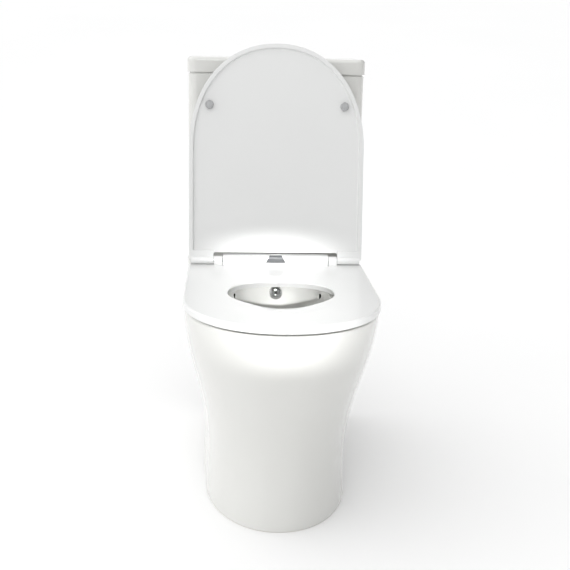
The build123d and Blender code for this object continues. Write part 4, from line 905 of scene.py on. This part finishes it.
# ------------------------------------------------------------------ cistern and lid
@dataclass
class Cistern:
    """The ceramic tank, open at the top.

    Attributes:
        half: Half width.
        front_y: Front face.
        low, top: Heights of its foot and its top.
        corner: Radius of its upright corners.
        foot: Radius of its bottom edges.
        wall: Thickness of its walls.
    """

    half: float = 181.0
    front_y: float = 181.0
    low: float = 436.0
    top: float = 804.0
    corner: float = 20.0
    foot: float = 9.0
    wall: float = 9.0

    def loop(self, z: float, inset: float) -> Loop:
        """The tank's outline at a height, set in by a wall."""
        r = max(self.corner - inset, 2.0)
        flat = rounded_rectangle(-self.half + inset, self.half - inset, self.front_y + inset, AT.back_y - inset, r, r)
        return at_height(flat, z)

    def build(self) -> Mesh:
        """Make and dress the tank."""
        loops = [self.loop(self.low + self.foot * r, self.foot * (1 - s)) for s, r in quarter(8)]
        loops += [self.loop(z, 0) for z in np.linspace(self.low + self.foot + 6, self.top - 1.5, 12)]
        loops += [self.loop(self.top - 0.5, 0.4), self.loop(self.top, 1.5)]
        tank = loft("cistern", loops)
        floor = self.low + 10
        inside = [self.loop(floor, self.wall + 6), self.loop(floor + 2, self.wall + 2), self.loop(floor + 6, self.wall)]
        inside += [self.loop(self.top - 1.5, self.wall), self.loop(self.top + 1, self.wall - 1.2)]
        taken = [loft("inside", inside)]
        taken.append(bar((0, AT.valve_y, self.low - 1), (0, AT.valve_y, floor + 1), 29.8, 96))
        taken.append(bar((AT.fill_x, AT.fill_y, self.low - 1), (AT.fill_x, AT.fill_y, floor + 1), 10.9))
        for side in (-1, 1):
            x = side * AT.coupling_x
            taken.append(bar((x, AT.valve_y, self.low - 1), (x, AT.valve_y, floor + 1), 6))
        combine(tank, taken, Cut.TAKE)
        return dress(tank, "cistern_glazed", Body.PAN, "vitreous_china", ["cistern"])


@dataclass
class CisternLid:
    """The loose lid, with a shadow gap round its foot and a lip inside the tank."""

    half: float = 183.0
    front_y: float = 178.5
    low: float = 804.0
    top: float = 837.0
    corner: float = 20.0
    edge: float = 8.0
    gap: tuple[float, float] = (2.5, 5.0)

    def loop(self, z: float, inset: float, radius: float = 0.0) -> Loop:
        """The lid's outline at a height, with its own corners where a radius is given."""
        r = radius or max(self.corner - inset, 2.0)
        flat = rounded_rectangle(-self.half + inset, self.half - inset, self.front_y + inset, AT.back_y - inset, r, r)
        return at_height(flat, z)

    def build(self) -> Mesh:
        """Make and dress the lid."""
        rise, deep = self.gap
        loops = [self.loop(self.low, deep), self.loop(self.low + rise, deep)]
        loops += [self.loop(self.low + rise, 1.0), self.loop(self.low + rise + 1, 0.0)]
        for s, r in quarter(9):
            loops.append(self.loop(self.top - self.edge + self.edge * s, self.edge * r))
        loops += [self.loop(self.top + 0.25, 40.0), self.loop(self.top + 0.35, 70.0)]
        lid = loft("cistern_lid", loops)
        heights = ((self.low - 1, 15, 10.0), (self.top - 14, 15, 10.0), (self.top - 10, 20, 8.0))
        hollow = [self.loop(z, inset, radius) for z, inset, radius in heights]
        combine(lid, [loft("hollow", hollow)], Cut.TAKE)
        outer = rounded_rectangle(-170.5, 170.5, 191.5, 322.0, 10, 10)
        inner = rounded_rectangle(-164.5, 164.5, 197.5, 316.0, 5, 5)
        lip = [at_height(outer, 796), at_height(outer, 826.5), at_height(inner, 826.5), at_height(inner, 796)]
        combine(lid, [loft("lip", lip, ring=True)], Cut.JOIN)
        combine(lid, [bar((0, AT.valve_y, 820), (0, AT.valve_y, 840), 23.5, 96)], Cut.TAKE)
        return dress(lid, "cistern_lid_glazed", Body.LID, "vitreous_china", ["cistern_lid"])


@dataclass
class FlushButton:
    """Round two-part press button with its surround.

    Attributes:
        radius: Radius of the button.
        top: Height of the button's top.
        depth: Height of the button.
        split_x: Where the two parts meet.
        gap: Gap between them.
        lid_z: Top of the lid.
    """

    radius: float = 20.0
    top: float = 841.0
    depth: float = 11.0
    split_x: float = -6.0
    gap: float = 1.0
    lid_z: float = 837.0

    def half(self, side: int) -> Mesh:
        """One part: 1 is the full flush, -1 the half flush."""
        r, h = self.radius, self.depth
        profile = [(0, -h), (r, -h), (r, -1.4), (r - 0.4, -0.5), (r - 1.4, 0), (r - 5, -0.15), (r - 9, -0.5), (0, -0.9)]
        disc = lathe("button", profile, Matrix.Translation((0, AT.valve_y, self.top)))
        edge, far = self.split_x + side * self.gap / 2, self.split_x + side * 60
        keep = block(
            (min(edge, far), AT.valve_y - 30, self.top - h - 1), (max(edge, far), AT.valve_y + 30, self.top + 2)
        )
        return combine(disc, [keep], Cut.KEEP)

    def bezel(self) -> Mesh:
        """The surround, with its sleeve through the lid and its guide web."""
        bore, sleeve, flange, z = self.radius + 0.5, 23.0, 29.0, self.lid_z
        profile = [
            (bore, z - 31), (sleeve, z - 31), (sleeve, z), (flange, z), (flange, z + 0.8), (flange - 0.5, z + 1.7),
            (flange - 1.6, z + 2.3), (flange - 3.2, z + 2.5), (bore + 1.2, z + 2.5), (bore + 0.3, z + 2.1),
            (bore, z + 1.2),
        ]
        ring = lathe("bezel", profile, Matrix.Translation((0, AT.valve_y, 0)))
        web = bar((0, AT.valve_y, z - 31), (0, AT.valve_y, z - 28), bore + 1)
        combine(ring, [web], Cut.JOIN)
        holes = [bar((x, AT.valve_y, z - 33), (x, AT.valve_y, z - 26), 3.5, 32) for x in (10.0, -13.0)]
        return combine(ring, holes, Cut.TAKE)

    def build(self) -> list[Mesh]:
        """Make and dress the surround and both buttons."""
        return [
            dress(self.bezel(), "button_surround", Body.LID, "chrome", ["button_bezel"]),
            dress(self.half(1), "button_full", Body.FULL, "chrome", ["full_flush_button"]),
            dress(self.half(-1), "button_half", Body.HALF, "chrome", ["half_flush_button"]),
        ]


# ------------------------------------------------------------------ seat ring
@dataclass
class SeatRing:
    """Flat seat ring whose front inner edge rolls down into the opening.

    Attributes:
        half: Half width of the ring.
        low: Height of its underside.
        thick: Its thickness.
        nose: Length of its rounded front.
        rear_y: Its rear edge.
        centre_y: Centre of the rays that pair its inner and outer edges.
        opening: Half width, front and rear of the opening.
        roll: Half width, front and rear of the line where the roll-off begins.
        roll_radius: Radius of the roll-off.
        buffers: Places of the buffers' sockets.
    """

    half: float = 178.5
    low: float = 412.0
    thick: float = 13.0
    nose: float = 190.0
    rear_y: float = 108.0
    centre_y: float = -115.0
    opening: tuple[float, float, float] = (98.0, -197.0, -41.0)
    roll: tuple[float, float, float] = (99.0, -262.0, -41.0)
    roll_radius: float = 248.0
    notch: tuple[float, float] = (109.5, 82.5)
    buffers: tuple[tuple[float, float], ...] = ((140.0, 30.0), (118.0, -215.0))

    def outline(self) -> DOutline:
        """The ring's outer outline."""
        return DOutline(self.half, self.half, AT.front_y, self.nose, -60.0, self.rear_y, 5.0, 2.15)

    def ring(self) -> Mesh:
        """The ring, hollow below."""
        top, outer = self.low + self.thick, self.outline()
        angles = np.arctan2(outer.points(0)[:, 1] - self.centre_y, outer.points(0)[:, 0])
        inner = polar(oval(*self.opening, 2.2, 720), self.centre_y, angles)
        start = polar(oval(*self.roll, 2.2, 720), self.centre_y, angles)
        way = start - inner
        outwards = inner - (0, self.centre_y)
        outwards /= np.linalg.norm(outwards, axis=1)[:, None]
        gap = np.einsum("ij,ij->i", way, outwards)
        gap = 0.5 * (gap + np.sqrt(gap**2 + 3.0**2))
        edge = 2.0

        def between(reach: np.ndarray | float, z: np.ndarray | float) -> Loop:
            """Points a reach outwards from the opening's wall, at given heights."""
            flat = inner + outwards * np.broadcast_to(reach, gap.shape)[:, None]
            return np.column_stack([flat, np.broadcast_to(z, gap.shape)])

        loops = [outer.points(self.low, 1.2), outer.points(self.low + 0.4, 0.35), outer.points(self.low + 1.4, 0)]
        fall = 3.5
        loops += [outer.points(top - fall + fall * s, fall * r) for s, r in quarter(9)]
        flat_edge, flat_inner = outer.points(top, fall), between(gap, top)
        loops += [flat_edge * (1 - t) + flat_inner * t for t in (0.2, 0.4, 0.6, 0.8, 1.0)]
        reach = np.maximum(gap - edge, 0)
        for t in np.linspace(0, 1, 26)[1:]:
            here = gap * (1 - t) + edge * t
            loops.append(between(here, top - (gap - here) ** 2 / (2 * self.roll_radius)))
        slope = reach / self.roll_radius
        lip = top - reach**2 / (2 * self.roll_radius)
        for turn in np.linspace(0, 1, 9)[1:]:
            a = slope + (math.pi / 2 - slope) * turn
            loops.append(between(edge * (1 - np.sin(a)), lip - edge * (np.cos(slope) - np.cos(a))))
        loops += [between(6.0, self.low + 1.2), between(6.4, self.low + 0.3), between(7.2, self.low)]
        pocket_outer = DOutline(self.half - 4, self.half - 4, AT.front_y + 4, self.nose - 4, -60.0, 78.5, 3.0, 2.15)
        rim = polar(pocket_outer.points(0), self.centre_y, angles)
        wall = gap + 9
        ceiling = top - 5.0
        inside = ((0, self.low), (0, self.low + 1), (1.2, ceiling - 1), (3, ceiling))
        loops += [between(wall + further, z) for further, z in inside]
        loops += [at_height(rim, ceiling), at_height(rim, self.low)]
        return loft("seat_ring", loops, ring=True)

    def build(self) -> Mesh:
        """Make and dress the ring with its two hinge eyes."""
        ring = self.ring()
        notch_half, notch_y = self.notch
        combine(ring, [block((-notch_half, notch_y, 400), (notch_half, 140, 430), 3.0)], Cut.TAKE)
        joined = []
        for x, y in self.buffers:
            joined += [bar((side * x, y, self.low + 1), (side * x, y, self.low + 9), 10) for side in (-1, 1)]
        for side in (-1, 1):
            near, far = side * notch_half, side * (notch_half + 17)
            joined.append(bar((near, AT.hinge_y, AT.hinge_z), (far, AT.hinge_y, AT.hinge_z), 8.3, 72))
            joined.append(
                block(
                    (min(near, far), AT.hinge_y - 8.3, self.low + 5), (max(near, far), AT.hinge_y + 8.3, AT.hinge_z)
                )
            )
        combine(ring, joined, Cut.JOIN)
        taken = []
        for x, y in self.buffers:
            taken += [bar((side * x, y, self.low - 1), (side * x, y, self.low + 8), 8) for side in (-1, 1)]
        taken.append(bar((-152, AT.hinge_y, AT.hinge_z), (152, AT.hinge_y, AT.hinge_z), 4.05, 48))
        combine(ring, taken, Cut.TAKE)
        return dress(ring, "seat_ring_moulded", Body.SEAT, "seat_plastic", ["seat_ring"])


# ------------------------------------------------------------------ cover
@dataclass
class SeatCover:
    """The cover, made closed and then swung up to where it rests.

    Attributes:
        half: Half width.
        low: Height of its rim when closed.
        thick: Its thickness.
        length: Length in front of the hinge axis.
        nose: Length of its rounded front.
        rim: Width of the rim below it.
        recess: Depth inside the rim.
        notch: Half width and length of the notch round the hinge bar.
        bumper: X and distance from the axis of its two bumpers.
    """

    half: float = 177.5
    low: float = 428.5
    thick: float = 12.5
    length: float = 436.0
    nose: float = 211.0
    rim: float = 8.0
    recess: float = 5.0
    notch: tuple[float, float] = (127.5, 15.5)
    bumper: tuple[float, float] = (137.0, 314.0)

    def outline(self) -> DOutline:
        """The closed cover's outline."""
        front = AT.hinge_y - self.length
        return DOutline(self.half, self.half, front, self.nose, -60.0, AT.hinge_y, 4.0, 2.15)

    def swing(self) -> Matrix:
        """The turn about the hinge axis that raises the closed cover."""
        axis = Matrix.Translation((0, AT.hinge_y, AT.hinge_z))
        return axis @ Matrix.Rotation(math.radians(-AT.cover_swing), 4, "X") @ axis.inverted()

    def plate(self) -> Mesh:
        """The plate with its rim, closed."""
        o, top = self.outline(), self.low + self.thick
        ceiling = self.low + self.recess
        loops = [o.points(ceiling + 0.25, 60), o.points(ceiling + 0.1, 30), o.points(ceiling, self.rim + 4)]
        for s, r in quarter(5)[1:]:
            loops.append(o.points(ceiling - 3.5 * r, self.rim + 4 - 3.5 * s))
        rim = ((1.0, self.rim), (0.3, self.rim - 0.3), (0, self.rim - 1), (0, 1.4), (0.4, 0.4), (1.4, 0))
        loops += [o.points(self.low + rise, inset) for rise, inset in rim]
        loops += [o.points(top - 3 + 3 * s, 3 * r) for s, r in quarter(8)]
        loops += [o.points(top + 0.25, 16), o.points(top + 0.6, 60), o.points(top + 0.8, 100)]
        return loft("seat_cover", loops)

    def build(self) -> Mesh:
        """Make and dress the cover."""
        plate = self.plate()
        half, deep = self.notch
        joined = []
        for side in (-1, 1):
            near, far = side * half, side * (half + 46)
            joined.append(bar((near, AT.hinge_y, AT.hinge_z), (far, AT.hinge_y, AT.hinge_z), 8.3, 72))
            low = (min(near, far), AT.hinge_y - 20, self.low)
            joined.append(block(low, (max(near, far), AT.hinge_y, self.low + self.recess + 1)))
        combine(plate, joined, Cut.JOIN)
        taken = [block((-half, AT.hinge_y - deep, self.low - 10), (half, 140, self.low + 40), 4.0)]
        taken.append(bar((-153, AT.hinge_y, AT.hinge_z), (153, AT.hinge_y, AT.hinge_z), 4.05, 48))
        x, s = self.bumper
        y = AT.hinge_y - s
        taken += [bar((side * x, y, self.low + 2), (side * x, y, self.low + self.recess + 1), 6) for side in (-1, 1)]
        combine(plate, taken, Cut.TAKE)
        plate.data.transform(self.swing())
        return dress(plate, "seat_cover_moulded", Body.COVER, "seat_plastic", ["seat_cover"])

    def bumpers(self) -> Mesh:
        """Make and dress the two round bumpers, each with a shallow ring moulded in its face."""
        x, s = self.bumper
        ceiling = self.low + self.recess
        height = ceiling - 425.3
        profile = [
            (0, 1), (6, 1), (6, 0), (8.5, 0), (8.5, -height + 2), (8.1, -height + 0.8), (7.2, -height + 0.15),
            (6.4, -height), (5.6, -height + 0.5), (4.9, -height + 0.5), (4.2, -height), (0, -height),
        ]
        pads = []
        for side in (-1, 1):
            place = self.swing() @ Matrix.Translation((side * x, AT.hinge_y - s, ceiling))
            pads.append(lathe("bumper", profile, place, 64))
        combine(pads[0], pads[1:], Cut.JOIN)
        return dress(pads[0], "cover_bumper_pads", Body.COVER, "grey_rubber", ["cover_bumpers"])


# ------------------------------------------------------------------ hinge bar
@dataclass
class HingeBar:
    """Fixed bar across the deck, with the trapezoid release button in its middle.

    Attributes:
        half: Half length.
        front: Distance of its front from the hinge axis.
        back: Distance of its back from the hinge axis.
        top: Height of its top.
        edge: Radius of its two long top edges.
        button: Half widths at the button's foot and top, and its height.
        play: Gap round the button.
    """

    half: float = 108.0
    front: float = 14.0
    back: float = 16.0
    top: float = 446.0
    edge: float = 8.0
    button: tuple[float, float, float] = (20.0, 11.5, 14.0)
    play: float = 0.6

    def profile(self, x: float, inset: float) -> Loop:
        """The bar's section at a place along X."""
        flat = rounded_rectangle(
            AT.rim_z + inset, self.top - inset, AT.hinge_y - self.front + inset, AT.hinge_y + self.back - inset,
            1.0, 1.0, 10, 4,
        )
        z, y = flat[:, 0].copy(), flat[:, 1].copy()
        r = self.edge - inset
        for centre_y, sign in ((AT.hinge_y - self.front + self.edge, -1), (AT.hinge_y + self.back - self.edge, 1)):
            near = (z > self.top - self.edge) & (sign * (y - centre_y) > 0)
            dz, dy = z[near] - (self.top - self.edge), y[near] - centre_y
            angle = np.arctan2(dz, np.abs(dy))
            z[near] = self.top - self.edge + r * np.sin(angle)
            y[near] = centre_y + sign * r * np.cos(angle)
        return np.column_stack([np.full(len(y), x), y, z])

    def trapezoid(self, grow: float, near_y: float, far_y: float) -> Mesh:
        """The button's outline as a solid between two depths."""
        low_half, top_half, height = self.button
        low = self.top - height - grow
        top = self.top + grow
        points = [
            (-low_half - grow, low), (low_half + grow, low), (top_half + grow, top), (-top_half - grow, top),
        ]
        loops = [np.array([(x, y, z) for x, z in points]) for y in (near_y, far_y)]
        return loft("trapezoid", loops)

    def build(self) -> list[Mesh]:
        """Make and dress the bar and the button."""
        steps = [(self.half, 1.2), (self.half - 0.4, 0.35), (self.half - 1.2, 0.0)]
        loops = [self.profile(-x, i) for x, i in steps] + [self.profile(x, i) for x, i in reversed(steps)]
        bar_mesh = loft("hinge_bar", loops)
        front = AT.hinge_y - self.front
        taken = [self.trapezoid(self.play, front - 2, front + 14.6)]
        for side in (-1, 1):
            taken.append(bar((side * 24, AT.hinge_y, AT.hinge_z), (side * 96, AT.hinge_y, AT.hinge_z), 6.05, 48))
            taken.append(bar((side * 95, AT.hinge_y, AT.hinge_z), (side * 110, AT.hinge_y, AT.hinge_z), 4.05, 48))
            taken.append(bar((side * AT.stud_x, AT.hinge_y, 406), (side * AT.stud_x, AT.hinge_y, 422), 4.05, 32))
        combine(bar_mesh, taken, Cut.TAKE)
        button = loft("release", [self.profile(-self.half, 1.0), self.profile(self.half, 1.0)])
        combine(button, [self.trapezoid(0.0, front + 0.5, front + 11)], Cut.KEEP)
        return [
            dress(bar_mesh, "hinge_bar_moulded", Body.PAN, "seat_plastic", ["hinge_bar"]),
            dress(button, "release_button_moulded", Body.RELEASE, "grey_plastic", ["release_button"]),
        ]


# ------------------------------------------------------------------ small round pieces
@dataclass
class Spray:
    """Round chrome spray head on the bowl's rear wall."""

    radius: float = 12.5
    back_y: float = 64.5
    depth: float = 8.0
    shank: tuple[float, float] = (7.5, 104.0)
    bore: float = 2.5

    def build(self) -> Mesh:
        """Make and dress the spray head."""
        r, d = self.radius, self.depth
        shank_r, end_y = self.shank
        reach = end_y - self.back_y
        profile = [
            (self.bore, -reach), (shank_r, -reach), (shank_r, 0), (r - 0.3, 0), (r, 0.4), (r, 2.0), (r - 0.35, 3.3),
            (r - 1.3, 5.2), (r - 2.8, 6.7), (r - 4.6, 7.6), (r - 6.2, d), (5.0, d), (4.4, d - 0.35), (3.9, d - 0.9),
            (3.4, d - 1.1), (self.bore, d - 1.2),
        ]
        place = Matrix.Translation((0, self.back_y, AT.spray_z)) @ Matrix.Rotation(math.radians(90), 4, "X")
        head = lathe("spray", profile, place, 96)
        return dress(head, "spray_head", Body.PAN, "chrome", ["spray_nozzle"])


@dataclass
class ScrewCaps:
    """Snap-in caps over the two side screws."""

    radius: float = 8.7
    y: float = 210.0
    z: float = 45.0

    def build(self) -> Mesh:
        """Make and dress both caps."""
        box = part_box("screw_caps")
        far = max(abs(v) for v in (box[0][0], box[1][0])) / MM
        r, depth = self.radius, 3.5
        profile = [(0, 0), (r, 0), (r, depth - 1.3), (r - 0.4, depth - 0.5), (r - 1.6, depth - 0.1), (0, depth)]
        caps = []
        for side in (-1, 1):
            turn = Matrix.Rotation(math.radians(90 * side), 4, "Y")
            caps.append(lathe("cap", profile, Matrix.Translation((side * (far - depth), self.y, self.z)) @ turn, 64))
        combine(caps[0], caps[1:], Cut.JOIN)
        return dress(caps[0], "screw_cap_covers", Body.PAN, "seat_plastic", ["screw_caps"])


# ------------------------------------------------------------------ fittings that keep their construction meshes
def dress_fittings(slots: dict[str, str]) -> int:
    """Give each construction node its finish.

    Args:
        slots: The material slot of each node.

    Returns:
        How many nodes were dressed.
    """
    for node, slot in slots.items():
        obj = frame["nodes"][node]
        material = MATERIALS[slot]
        if not obj.material_slots:
            obj.data.materials.append(material)
        for place in obj.material_slots:
            place.material = material
    return len(slots)


# ------------------------------------------------------------------ studio
@dataclass
class Studio:
    """Camera, floor, backdrop and soft lights.

    Attributes:
        camera_at: The camera's place, in metres.
        yaw, pitch, roll: Its direction, in degrees.
        lens: Its focal length.
    """

    camera_at: tuple[float, float, float] = (-0.10007, -1.76926, 0.87827)
    yaw: float = 3.71
    pitch: float = 14.88
    roll: float = 1.31
    lens: float = 58.83
    sky_left: float = 0.62
    sky_right: float = 0.24
    sun_power: float = 2.08
    sun_angle: float = 130.0
    sun_from: tuple[float, float, float] = (-0.3, -0.1, 0.95)
    front_power: float = 6.0
    beam_power: float = 1700.0
    beam_cone: float = 6.5
    beam_from: tuple[float, float, float] = (0.02, -2.3, 0.98)
    beam_to: tuple[float, float, float] = (0.0, 0.06, 0.369)

    def camera(self) -> None:
        """Make the camera and use it."""
        yaw, pitch, roll = (math.radians(v) for v in (self.yaw, self.pitch, self.roll))
        forward = Vector((math.sin(yaw) * math.cos(pitch), math.cos(yaw) * math.cos(pitch), -math.sin(pitch)))
        right = Vector((math.cos(yaw), -math.sin(yaw), 0))
        up = right.cross(forward)
        across = math.cos(roll) * right + math.sin(roll) * up
        above = -math.sin(roll) * right + math.cos(roll) * up
        data = bpy.data.cameras.new("camera")
        data.lens, data.sensor_width = self.lens, 36.0
        camera = bpy.data.objects.new("camera", data)
        turn = Matrix((across, above, -forward)).transposed().to_4x4()
        camera.matrix_world = Matrix.Translation(self.camera_at) @ turn
        bpy.context.scene.collection.objects.link(camera)
        bpy.context.scene.camera = camera

    def floor(self) -> None:
        """A plain pale floor that rises gently behind the object and closes the view."""
        curve = [(-9.0, 0.0), (1.2, 0.0)]
        curve += [(1.2 + 4 * math.sin(a), 4 * (1 - math.cos(a))) for a in np.linspace(0.02, 0.25, 10)]
        last_y, last_z = curve[-1]
        curve.append((last_y + 20, last_z + 20 * math.tan(0.25)))
        points = [(x, y, z) for y, z in curve for x in (-16, 0, 16)]
        faces = [
            (a, a + 1, a + 4, a + 3) for row in range(len(curve) - 1) for a in (row * 3, row * 3 + 1)
        ]
        sweep = new_object("floor", points, faces)
        for face in sweep.data.polygons:
            face.use_smooth = True
        s = Shader("studio_floor")
        tone = s.tint(s.spread(s.noise(1.2, 2), 0, 1), (0.95, 0.95, 0.95), (0.94, 0.94, 0.94))
        s.link(tone, s.surface.inputs["Base Color"])
        s.set("Roughness", 0.8)
        s.set("Specular IOR Level", 0.2)
        sweep.data.materials.append(s.material)

    def sky(self) -> None:
        """Soft light from all round, dimmer on the right."""
        world = bpy.data.worlds.new("studio")
        bpy.context.scene.world = world
        world.use_nodes = True
        tree = world.node_tree
        background = tree.nodes["Background"]
        background.inputs["Strength"].default_value = 1.0
        place = tree.nodes.new("ShaderNodeTexCoord")
        parts = tree.nodes.new("ShaderNodeSeparateXYZ")
        ramp = tree.nodes.new("ShaderNodeMapRange")
        ramp.interpolation_type = "SMOOTHSTEP"
        limits = {"From Min": -0.9, "From Max": 0.9, "To Min": self.sky_left, "To Max": self.sky_right}
        for socket, value in limits.items():
            ramp.inputs[socket].default_value = value
        tree.links.new(place.outputs["Generated"], parts.inputs["Vector"])
        tree.links.new(parts.outputs["X"], ramp.inputs["Value"])
        tree.links.new(ramp.outputs["Result"], background.inputs["Color"])

    def sun(self) -> None:
        """A broad, very soft light from above on the left."""
        data = bpy.data.lights.new("overhead", "SUN")
        data.energy, data.angle = self.sun_power, math.radians(self.sun_angle)
        lamp = bpy.data.objects.new("overhead", data)
        lamp.rotation_euler = Vector(self.sun_from).to_track_quat("Z", "Y").to_euler()
        bpy.context.scene.collection.objects.link(lamp)

    def spot(self) -> None:
        """A soft beam along the line of sight, which reaches the back wall of the bowl."""
        data = bpy.data.lights.new("beam", "SPOT")
        data.energy, data.shadow_soft_size = self.beam_power, 0.12
        data.spot_size, data.spot_blend = math.radians(self.beam_cone), 1.0
        lamp = bpy.data.objects.new("beam", data)
        lamp.location, lamp.scale = self.beam_from, (1.0, 0.24, 1.0)
        lamp.rotation_euler = (Vector(self.beam_from) - Vector(self.beam_to)).to_track_quat("Z", "Y").to_euler()
        bpy.context.scene.collection.objects.link(lamp)

    def light(
        self, name: str, at: Sequence[float], towards: Sequence[float], size: tuple[float, float], power: float
    ) -> None:
        """Add a soft rectangular light.

        Args:
            name: Its name.
            at: Its place.
            towards: The point it faces.
            size: Its width and height.
            power: Its power in watts.
        """
        data = bpy.data.lights.new(name, "AREA")
        data.shape, data.size, data.size_y, data.energy = "RECTANGLE", size[0], size[1], power
        lamp = bpy.data.objects.new(name, data)
        lamp.location = at
        lamp.rotation_euler = (Vector(towards) - Vector(at)).to_track_quat("-Z", "Y").to_euler()
        bpy.context.scene.collection.objects.link(lamp)

    def build(self) -> None:
        """Make the whole studio."""
        bpy.context.scene.view_settings.view_transform = "Standard"
        self.camera()
        self.floor()
        self.sky()
        self.sun()
        self.spot()
        self.light("front", (-0.2, -2.0, 1.9), (0, 0.2, 0.9), (0.9, 0.7), self.front_power)


def main() -> None:
    """Build every piece in order and report them."""
    logging.basicConfig(level=logging.INFO, format="%(message)s")
    Studio().build()
    slots = {part["node"]: part["material_slot"] for part in frame["record"]["subparts"]}
    LOG.info("fittings dressed: %d", dress_fittings(slots))
    cover = SeatCover()
    pieces = [Pan().build(), Cistern().build(), CisternLid().build(), *FlushButton().build()]
    pieces += [SeatRing().build(), cover.build(), cover.bumpers(), *HingeBar().build()]
    pieces += [Spray().build(), ScrewCaps().build()]
    LOG.info("pieces: %s", ", ".join(piece.name for piece in pieces))


if __name__ == "__main__":
    main()
